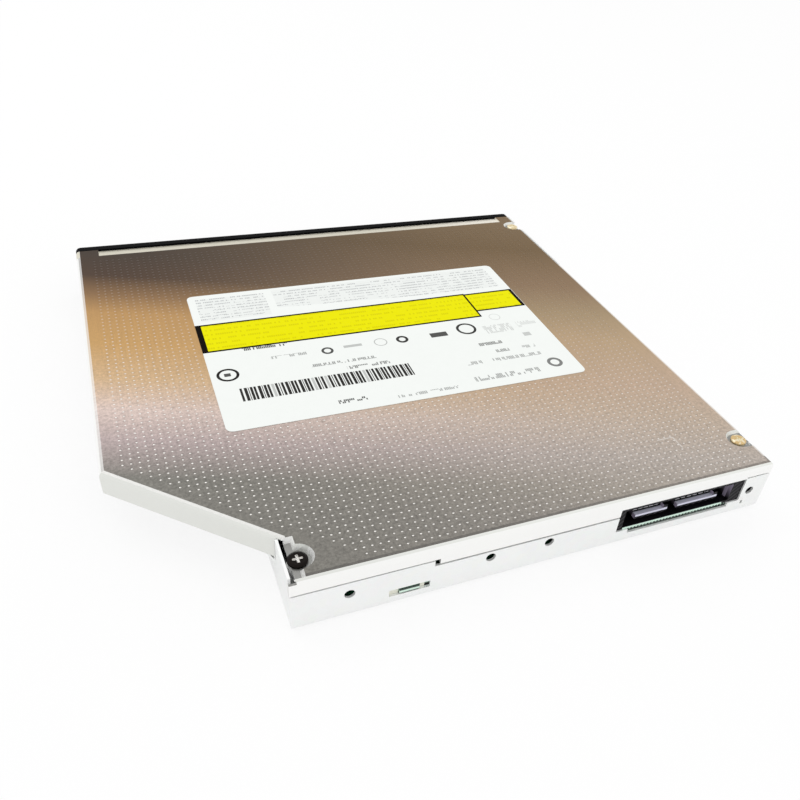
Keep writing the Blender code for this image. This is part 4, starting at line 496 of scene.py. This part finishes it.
def labelPrint():
    look = labelLook
    f = Finish("label print")
    point = f.point()
    x, y, z = f.parts(point)
    ink, grey = paint(*look["ink"]), paint(*look["grey"])
    film = f.shade(paint(*look["film"]), f.noise(point, 0.5, 3.0) * 0.03 + 0.98)

    finePrint = f.band(y % 1.34, 0.42, 0.92) * dashes(f, x, y, 1.3, 0.42)
    leftBlock = f.patch(x, y, *look["leftBlock"]) * (y + x * 0.06 < -20.0)
    printed = f.patch(x, y, *look["rightBlock"]).either(leftBlock)
    colour = f.mix(printed * (finePrint * 0.5 + 0.07), film, grey)

    edges, fields = [], []
    for left, right, front, rear, lineLeft, lineRight in look["fields"]:
        edges.append(f.patch(x, y, left - lineLeft, right + lineRight, front - look["line"], rear + look["line"]))
        fields.append(f.patch(x, y, left, right, front, rear))
    yellowRows = f.band((y + 17.2) % 1.93, 0.55, 1.25) * dashes(f, x, y, 1.93, 0.5)
    yellow = f.mix(yellowRows * 0.3, paint(*look["yellow"]), paint(*look["yellowPrint"]))
    colour = f.mix(anyOf(fields), f.mix(anyOf(edges), colour, ink), yellow)

    group = x / look["codeGroup"]
    seed = f.speckle(f.vector(group.floor(), 1.0, 5.0))
    plain, dense = [anyOf([f.band(group % 1.0, low, high) * depth for low, high, depth in look[kind]])
                    for kind in ("codePlain", "codeDense")]
    stripes = f.mix(seed > 0.5, plain, dense)
    colour = f.mix(f.patch(x, y, *look["code"]) * stripes * 0.97, colour, ink)

    letters = dashes(f, x, y, 1.2, 0.4)
    marks = [f.patch(x, y, *place) * depth for *place, depth in look["bars"]]
    marks += [f.patch(x, y, *place) * letters * depth for *place, depth in look["rows"]]
    for centreX, centreY, radius, width, depth in look["rings"]:
        marks.append(f.band(f.distance(x, y, centreX, centreY), radius - width, radius) * depth)
    colour = f.mix(anyOf(marks), colour, ink)
    return f.surface(Base_Color=colour, Roughness=f.noise(point, 1.2, 3.0) * 0.15 + 0.5, Specular_IOR_Level=0.03,
                     Normal=f.bump(f.noise(point, 0.25, 2.0) * 0.04, 0.001, 0.5))


# Boards: green solder mask with tracks, tinned pads, a pale cut edge and painted shadow on its lower half
boardLook = {
    "mask": (18, 92, 58),
    "track": (34, 120, 78),
    "edge": (214, 240, 224),
    # painted shadow on the lower half of the cut edge
    "edgeShadow": (6, 34, 24),
    "edgeMiddle": 3.0,
    "ticksEnd": -20.0,                       # pads beside the connector end here
    "pad": (206, 196, 160),
    "padPitch": 1.4,
    "trackPitch": 0.9,
    "routeSize": 4.0,
    "tickPitch": 0.8,
}


def boardGreen():
    look = boardLook
    f = Finish("board green")
    point = f.point()
    x, y, z = f.parts(point)
    faceX, faceY, faceZ = f.facing()
    bend = f.noise(point, 0.09, 1.0) * 9.0
    lanes = f.band((y + bend) / look["trackPitch"] % 1.0, 0.2, 0.6)
    size, pitch = look["routeSize"], look["padPitch"]
    routes = f.noise(f.vector((x / size).floor(), (y / size).floor(), z), 0.7) > 0.5
    colour = f.mix(lanes * routes, paint(*look["mask"]), paint(*look["track"]))
    padSeed = f.speckle(f.vector((x / pitch).floor(), (y / pitch).floor(), 2.0))
    pads = f.patch(x / pitch % 1.0, y / pitch % 1.0, 0.3, 0.7, 0.3, 0.7) * (padSeed > 0.86)
    colour = f.mix(pads, colour, paint(*look["pad"]))
    low = z < look["edgeMiddle"]
    ticks = f.band(x / look["tickPitch"] % 1.0, 0.0, 0.55).either(x > look["ticksEnd"])
    # the cut edge's lower half in painted shadow, broken by pale pads
    edge = f.mix(low * ticks, paint(*look["edgeShadow"]), paint(*look["edge"]))
    colour = f.mix(f.ease(abs(faceZ), 0.7, 0.4), colour, edge)
    return f.surface(Base_Color=colour, Metallic=pads * 0.8, Roughness=f.noise(point, 2.0) * 0.2 + 0.3,
                     Normal=f.bump(lanes * routes * 0.03, 0.001, 0.6))


# Inner finishes: cable film, copper wire, lens glass and lamp
innerLook = {
    "film": (150, 92, 30),
    "lane": (204, 142, 62),
    "lanePitch": 0.5,
    "copper": (196, 104, 48),
    "wires": 22.0,
    "glassHaze": [(70, 60, 120), (110, 130, 170)],
    "lampHaze": [(150, 190, 120), (190, 220, 160)],
}


def cableFilm():                             # copper lanes seen through amber film
    look = innerLook
    f = Finish("cable film")
    x, y, z = f.parts(f.point())
    lanes = f.band(x / look["lanePitch"] % 1.0, 0.22, 0.78)
    colour = f.mix(lanes, paint(*look["film"]), paint(*look["lane"]))
    sheen = f.noise(f.vector(x, y, z), 0.4, 2.0)
    return f.surface(Base_Color=f.shade(colour, sheen * 0.2 + 0.9), Roughness=sheen * 0.15 + 0.28, Coat_Weight=0.4,
                     Normal=f.bump(lanes * 0.03, 0.001, 0.6))


def windings():                              # enamelled copper wire, with painted shade between the turns
    f = Finish("copper windings")
    x, y, z = f.parts(f.point())
    # darker between the turns: painted shade in the grooves
    turns = (y * innerLook["wires"]).maths("SINE")
    tone = f.shade(paint(*innerLook["copper"]), turns * 0.25 + 0.8)
    return f.surface(Base_Color=tone, Metallic=0.8, Roughness=turns * 0.05 + 0.3,
                     Normal=f.bump(turns * 0.08, 0.001, 0.7))


def glassLens():
    f = Finish("objective lens glass")
    haze = f.noise(f.point(), 1.5, 2.0)
    tone = f.mix(haze, *[paint(*colour) for colour in innerLook["glassHaze"]])
    return f.surface(Base_Color=tone, Roughness=haze * 0.03 + 0.02, Coat_Weight=1.0,
                     Transmission_Weight=0.35, IOR=1.5)


def lampCap():
    f = Finish("lamp cap")
    haze = f.noise(f.point(), 2.0, 2.0)
    tone = f.mix(haze, *[paint(*colour) for colour in innerLook["lampHaze"]])
    return f.surface(Base_Color=tone, Roughness=haze * 0.1 + 0.2, Transmission_Weight=0.3, Coat_Weight=0.5)


def brushedDisc(name, colour, centreX, centreY):         # turned metal: fine rings round the axis
    f = Finish(name)
    x, y, z = f.parts(f.point())
    rings = f.noise(f.vector(f.distance(x, y, centreX, centreY) * 9.0, z, 0.0), 1.0, 2.0)
    tone = f.shade(paint(*colour), rings * 0.12 + 0.9)
    return f.surface(Base_Color=tone, Metallic=0.9, Roughness=rings * 0.15 + 0.25,
                     Normal=f.bump(rings * 0.02, 0.001, 0.5))


spindleY = 1.5
finishes = {
    "cover": coverSteel(),
    "dots": dotSteel(),
    "chassis": steel("zinc-plated chassis steel", (246, 247, 246), rough=0.36, metal=0.35, spangle=0.1, under=0.1),
    "innerPlate": steel("zinc-plated plate", (196, 198, 198), rough=0.32, metal=0.85, spangle=0.2),
    "bright": steel("bright steel", (214, 214, 212), rough=0.2, metal=0.95),
    "rotor": brushedDisc("turned rotor steel", (206, 206, 204), 0.0, spindleY),
    "label": labelPrint(),
    "blackScrew": screwFinish("blackened screw", "cover_screw_rear_right", (22, 17, 15), (250, 248, 244), glint=0.0),
    "rearGold": screwFinish("gold passivated screw", "cover_screw_rear_left", (220, 190, 136), (255, 250, 226)),
    "frontGold": screwFinish("gold passivated screw front", "cover_screw_front_left",
                             (232, 212, 168), (255, 250, 226)),
    "panel": plastic("front panel black", (7, 7, 8), rough=0.6, texture=3.0, depth=0.02, shine=0.05),
    "tray": plastic("tray black", (24, 24, 26), rough=0.5, texture=4.0, depth=0.03),
    "connector": connectorBlack(),
    "chip": plastic("chip black", (32, 32, 34), rough=0.55, texture=5.0, depth=0.015),
    "turntable": plastic("turntable black", (22, 22, 23), rough=0.4, texture=3.0, depth=0.01),
    "acetal": plastic("white acetal", (232, 230, 222), rough=0.38, texture=1.5, depth=0.008),
    "ivory": plastic("ivory socket", (226, 214, 186), rough=0.45, texture=2.0, depth=0.01),
    "rubber": plastic("grey rubber", (78, 80, 82), rough=0.75, texture=5.0, depth=0.02),
    "darkRubber": plastic("turntable rubber", (40, 40, 42), rough=0.8, texture=6.0, depth=0.03),
    "castZinc": steel("cast zinc", (176, 176, 178), rough=0.45, metal=0.8, grainX=2.0, grainY=2.0),
    "board": boardGreen(),
    "laminate": plastic("bare laminate", (216, 242, 228), rough=0.5, texture=3.0, depth=0.01, shine=0.3),
    "paleFilm": plastic("film paper", (236, 236, 222), rough=0.5, texture=2.0, depth=0.005, shine=0.3),
    "film": cableFilm(),
    "windings": windings(),
    "lens": glassLens(),
    "lamp": lampCap(),
    "tin": steel("tinned contacts", (226, 224, 236), rough=0.25, metal=0.7, grainX=3.0, grainY=3.0),
    # pale, non-metal copy of the tin: painted highlight on the contact blades
    "blades": steel("contact blades", (250, 250, 255), rough=0.3, metal=0.05, grainX=3.0, grainY=3.0),
}

dressed = {
    "cover": ["top_cover"],
    "chassis": ["base_chassis"],
    "innerPlate": ["tray_bottom_plate", "traverse_frame", "spindle_stator", "sled_motor"],
    "bright": ["rail_left", "rail_right", "guide_rod_main", "guide_rod_side", "lead_screw", "latch_post",
               "board_screw_left", "board_screw_right", "damper_screw_1", "damper_screw_2", "damper_screw_3"],
    "rotor": ["spindle_rotor"],
    "label": ["label"],
    "blackScrew": ["cover_screw_rear_right"],
    "rearGold": ["cover_screw_rear_left"],
    "frontGold": ["cover_screw_front_left"],
    "panel": ["bezel", "eject_button"],
    "tray": ["disc_tray", "latch_base", "eject_switch"],
    "connector": ["signal_power_connector"],
    "chip": ["controller_chip", "memory_chip", "motor_driver_chip", "tray_board_chip", "lens_holder"],
    "turntable": ["turntable"],
    "acetal": ["guide_left", "guide_right", "hub_claw_1", "hub_claw_2", "hub_claw_3", "latch_lever"],
    "ivory": ["board_flex_socket", "tray_flex_socket"],
    "rubber": ["damper_1", "damper_2", "damper_3"],
    "darkRubber": ["turntable_ring"],
    "castZinc": ["pickup_sled"],
    "board": ["main_board", "tray_board", "front_board"],
    "film": ["flex_cable"],
    "windings": ["latch_solenoid"],
    "lens": ["objective_lens"],
    "lamp": ["lamp_lens"],
}
for finishName, names in dressed.items():
    for name in names:
        wear(nodes[name], finishes[finishName])
print("finishes:", len(finishes))

coverDots(finishes["dots"])


# Label film: rounded corners, and a little past the flat plate
filmLook = {
    "past": (0.0, 0.3, 0.3, 1.25),           # left, right, front, rear
    "corner": 1.5,
    "steps": 8,
}


def labelFilm():
    lo, hi = [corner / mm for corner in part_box("label")]
    left, right, front, rear = filmLook["past"]
    radius, steps = filmLook["corner"], filmLook["steps"]
    leftX, rightX = lo.x - left + radius, hi.x + right - radius
    frontY, rearY = lo.y - front + radius, hi.y + rear - radius
    loop = []
    for quarter, (x, y) in enumerate([(rightX, rearY), (leftX, rearY), (leftX, frontY), (rightX, frontY)]):
        for i in range(steps + 1):
            a = (quarter + i / steps) * math.pi / 2
            loop.append((x + radius * math.cos(a), y + radius * math.sin(a)))
    n = len(loop)
    points = [(x * mm, y * mm, z * mm) for z in (lo.z, hi.z) for x, y in loop]
    faces = [tuple(range(n - 1, -1, -1)), tuple(range(n, 2 * n))]
    faces += [(i, (i + 1) % n, n + (i + 1) % n, n + i) for i in range(n)]
    film = newPiece("label_film", points, faces, "chassis", finishes["label"])
    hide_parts("label")


labelFilm()


# Small rounded blocks and bent strips
def blocks(name, boxes, body, material, corner):
    mesh = bmesh.new()
    for low, high in boxes:
        size = [h - l for l, h in zip(low, high)]
        middle = [(l + h) / 2 for l, h in zip(low, high)]
        place = Matrix.Translation([m * mm for m in middle]) @ Matrix.Diagonal([s * mm for s in size] + [1])
        bmesh.ops.create_cube(mesh, size=1.0, matrix=place)
    bmesh.ops.bevel(mesh, geom=mesh.edges[:], offset=corner * mm, segments=1, affect="EDGES")
    points = [v.co[:] for v in mesh.verts]
    faces = [[v.index for v in f.verts] for f in mesh.faces]
    mesh.free()
    return newPiece(name, points, faces, body, material)


def stripFaces(first, count):                # four-sided strip through rings of points, closed at both ends
    faces = []
    for i in range(count - 1):
        a, b = first + 4 * i, first + 4 * i + 4
        faces += [(a + k, a + (k + 1) % 4, b + (k + 1) % 4, b + k) for k in range(4)]
    last = first + 4 * (count - 1)
    return faces + [(first + 3, first + 2, first + 1, first), (last, last + 1, last + 2, last + 3)]


def strip(name, path, width, thick, body, material):               # flat strip, its width along x
    across = Vector((1, 0, 0))
    path = [Vector(p) for p in path]
    points = []
    for i, p in enumerate(path):
        ahead = (path[min(i + 1, len(path) - 1)] - path[max(i - 1, 0)]).normalized()
        off = across.cross(ahead).normalized() * thick / 2
        side = across * width / 2
        points += [tuple((p + a + b) * mm) for a, b in ((side, off), (-side, off), (-side, -off), (side, -off))]
    return newPiece(name, points, stripFaces(0, len(path)), body, material)


# Connector: contact blades on both tongues
def contactBlades():
    look = connectorLook
    half, floor = look["bladeWidth"] / 2, look["tongueHigh"]
    rows = {"power_contacts": look["powerBlades"], "signal_contacts": look["signalBlades"]}
    for name, (count, pitch, middle) in rows.items():
        boxes = []
        for i in range(count):
            x = middle + (i - (count - 1) / 2) * pitch
            boxes.append(((x - half, look["front"], floor + 0.02), (x + half, look["rear"], floor + 0.12)))
        blocks(name, boxes, "chassis", finishes["blades"], 0.04)


contactBlades()


# Pale strip of bare laminate along the board's edge, under the connector
edgeLook = {
    "right": 4.4,                            # short of the connector's sides
    "left": 1.6,
    "front": 0.02,                           # about the connector's rear face
    "rear": 0.07,
    "low": 0.06,                             # above the board's top
    "high": 0.5,
}


def edgeStrip():
    look = edgeLook
    lo, hi = [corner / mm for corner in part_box("signal_power_connector")]
    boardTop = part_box("main_board")[1].z / mm
    box = ((lo.x + look["right"], hi.y - look["front"], boardTop + look["low"]),
           (hi.x - look["left"], hi.y + look["rear"], boardTop + look["high"]))
    blocks("board_edge_strip", [box], "chassis", finishes["laminate"], 0.03)


edgeStrip()


# Thin pale film behind the slot in the rear wall, on both sides of the board's tab
slotLook = {
    "sides": [(13.60, 14.60), (18.60, 20.80)],
    "inside": 0.45,                          # from the board's rear edge to the wall
    "front": 0.12,
    "rear": 0.03,
    "low": 2.1,
    "high": 3.25,
}


def slotFilm():
    look = slotLook
    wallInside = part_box("main_board")[1].y / mm - look["inside"]
    boxes = [((left, wallInside - look["front"], look["low"]), (right, wallInside - look["rear"], look["high"]))
             for left, right in look["sides"]]
    blocks("slot_film", boxes, "chassis", finishes["paleFilm"], 0.02)


slotFilm()


# Chip legs: gull-wing strips down to the board
legLook = {
    "pitch": 0.8,
    "cornerRoom": 1.2,
    "halfWidth": 0.17,
    "halfThick": 0.07,
    "inside": -0.1,                          # how far out from the chip's side each bend is
    "shoulder": 0.35,
    "knee": 0.6,
    "toe": 1.05,
    "foot": 0.08,                            # the foot's middle above the board
}


def chipLegs(name, node, boardHigh, body, onSides="xy"):
    look = legLook
    lo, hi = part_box(node)
    lo, hi = lo / mm, hi / mm
    middle, foot = (lo.z + hi.z) / 2, boardHigh + look["foot"]

    def row(low, high):                      # evenly spaced places along one side
        count = int((high - low - look["cornerRoom"]) / look["pitch"])
        start = (low + high) / 2 - (count - 1) * look["pitch"] / 2
        return [start + i * look["pitch"] for i in range(count)]
    legs = []                                # place, way out and way across
    if "x" in onSides:
        for sign, edge in ((-1, lo.x), (1, hi.x)):
            legs += [((edge, y), (sign, 0), (0, 1)) for y in row(lo.y, hi.y)]
    if "y" in onSides:
        for sign, edge in ((-1, lo.y), (1, hi.y)):
            legs += [((x, edge), (0, sign), (1, 0)) for x in row(lo.x, hi.x)]

    profile = [(look["inside"], middle), (look["shoulder"], middle), (look["knee"], foot), (look["toe"], foot)]
    thick, width = look["halfThick"], look["halfWidth"]
    points, faces = [], []
    for (x, y), (outX, outY), (sideX, sideY) in legs:
        faces += stripFaces(len(points), len(profile))
        for reach, high in profile:
            for s, t in ((1, 1), (-1, 1), (-1, -1), (1, -1)):
                points.append(((x + outX * reach + sideX * s * width) * mm,
                               (y + outY * reach + sideY * s * width) * mm, (high + t * thick) * mm))
    piece = newPiece(name, points, faces, body, finishes["tin"])
    mesh = bmesh.new()
    mesh.from_mesh(piece.data)
    bmesh.ops.recalc_face_normals(mesh, faces=mesh.faces)
    mesh.to_mesh(piece.data)
    mesh.free()
    return piece


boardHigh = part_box("main_board")[1].z / mm
chipLegs("controller_legs", "controller_chip", boardHigh, "chassis")
chipLegs("memory_legs", "memory_chip", boardHigh, "chassis", onSides="x")
chipLegs("driver_legs", "motor_driver_chip", boardHigh, "chassis", onSides="y")
chipLegs("tray_chip_legs", "tray_board_chip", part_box("tray_board")[1].z / mm, "tray")
print("contacts and legs")


# Flat cable: folded back in a loop between the main board and the tray
cableLook = {
    "left": 15.5,
    "right": 30.5,
    "thick": 0.16,
    "low": 0.8,
    "high": 1.75,
    "bendY": -28.0,
    "bendSteps": 13,
    "boardEnd": 48.0,
    "floorEnd": 40.5,
    "climb": 3.0,
    "climbSteps": 9,
    "overlap": 0.3,
    "trayEnd": 38.0,
    "rows": 40,
    "blendHigh": 1.35,
}


def flatCable():
    look = cableLook
    middle = (look["left"] + look["right"]) / 2
    radius = (look["high"] - look["low"]) / 2
    lower = [(middle, y, look["low"]) for y in np.linspace(look["floorEnd"], look["bendY"], look["rows"])]
    bend = [(middle, look["bendY"] - radius * math.sin(a), look["low"] + radius - radius * math.cos(a))
            for a in np.linspace(0, math.pi, look["bendSteps"])[1:-1]]
    upper = [(middle, y, look["high"]) for y in np.linspace(look["bendY"], look["trayEnd"], look["rows"])]
    width = look["right"] - look["left"]
    cable = strip("flat_cable", lower + bend + upper, width, look["thick"], None, finishes["film"])
    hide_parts("flex_cable")

    rise = look["high"] - look["low"]
    climb = [(middle, look["floorEnd"] - look["overlap"], look["low"])]
    for share in np.linspace(0, 1, look["climbSteps"]):
        climb.append((middle, look["floorEnd"] + look["climb"] * share,
                      look["low"] + rise * (1 - math.cos(math.pi * share)) / 2))
    climb.append((middle, look["boardEnd"], look["high"]))
    strip("cable_board_end", climb, width - 0.04, look["thick"] - 0.02, "chassis", finishes["film"])

    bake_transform(cable)


flatCable()
print("flat cable")


# Stage, light and camera
stageLook = {
    "floorSize": 6.0,
    "floorLow": -0.0003,
    "floorWhite": (250, 250, 250),
    "glow": 0.82,                            # how much of the floor's white doesn't take shadow
    "world": 0.92,
    "key": ((0.25, -0.35, 0.7), 0.5, 0.8),   # place, size and power
    "fill": ((-0.5, 0.5, 0.5), 0.6, 0.4),
}


def floor():
    look = stageLook
    f = Finish("white paper floor")
    paper = f.noise(f.point(), 0.02, 2.0)
    white = f.node("ShaderNodeBsdfDiffuse", {}, {"Color": f.shade(paint(*look["floorWhite"]), paper * 0.01 + 0.99)})
    glow = f.node("ShaderNodeEmission", {}, {"Color": (1, 1, 1, 1), "Strength": 1.0})
    rays = ("Is Camera Ray", "Is Glossy Ray", "Is Transmission Ray")
    seen = anyOf([f.node("ShaderNodeLightPath", {}, {}, ray) for ray in rays])
    shader = f.node("ShaderNodeMixShader", {}, {0: seen * look["glow"], 1: white, 2: glow})
    f.output(shader)
    half, low = look["floorSize"] / 2, look["floorLow"]
    corners = [(-half, -half, low), (half, -half, low), (half, half, low), (-half, half, low)]
    mesh = bpy.data.meshes.new("floor")
    mesh.from_pydata(corners, [], [(0, 1, 2, 3)])
    piece = bpy.data.objects.new("floor", mesh)
    piece.data.materials.append(f.material)
    bpy.context.scene.collection.objects.link(piece)


def areaLamp(name, place, size, power):      # a square lamp aimed at the object
    lamp = bpy.data.lights.new(name, "AREA")
    lamp.shape = "SQUARE"
    lamp.size = size
    lamp.energy = power
    holder = bpy.data.objects.new(name, lamp)
    holder.location = place
    holder.rotation_euler = (-Vector(place)).to_track_quat("-Z", "Y").to_euler()
    bpy.context.scene.collection.objects.link(holder)


def world():
    sky = bpy.data.worlds.new("white room")
    bpy.context.scene.world = sky
    sky.use_nodes = True
    tree = sky.node_tree
    tree.nodes.clear()
    path = tree.nodes.new("ShaderNodeLightPath")
    strength = tree.nodes.new("ShaderNodeMath")
    strength.operation = "MAXIMUM"
    tree.links.new(path.outputs["Is Camera Ray"], strength.inputs[0])
    strength.inputs[1].default_value = stageLook["world"]
    back = tree.nodes.new("ShaderNodeBackground")
    back.inputs["Color"].default_value = (1, 1, 1, 1)
    tree.links.new(strength.outputs[0], back.inputs["Strength"])
    made = tree.nodes.new("ShaderNodeOutputWorld")
    tree.links.new(back.outputs[0], made.inputs["Surface"])


cameraLook = {
    "place": (53.94, 146.11, 110.42),
    "right": (-0.91578, 0.38993, 0.09642),
    "down": (0.17304, 0.59961, -0.78136),
    "forward": (-0.36249, -0.69887, -0.61659),
    "lens": 34.567,
    "shift": (-0.0683, 0.0355),
}


def camera():
    look = cameraLook
    data = bpy.data.cameras.new("camera")
    data.sensor_width = 36.0
    data.lens = look["lens"]
    data.shift_x, data.shift_y = look["shift"]
    data.clip_start, data.clip_end = 0.01, 20.0
    holder = bpy.data.objects.new("camera", data)
    turn = Matrix((look["right"], [-v for v in look["down"]], [-v for v in look["forward"]])).transposed()
    holder.matrix_world = Matrix.Translation([v * mm for v in look["place"]]) @ turn.to_4x4()
    bpy.context.scene.collection.objects.link(holder)
    bpy.context.scene.camera = holder


floor()
world()
areaLamp("key", *stageLook["key"])
areaLamp("fill", *stageLook["fill"])
camera()
bpy.context.scene.view_settings.view_transform = "Standard"
print("stage, light and camera")
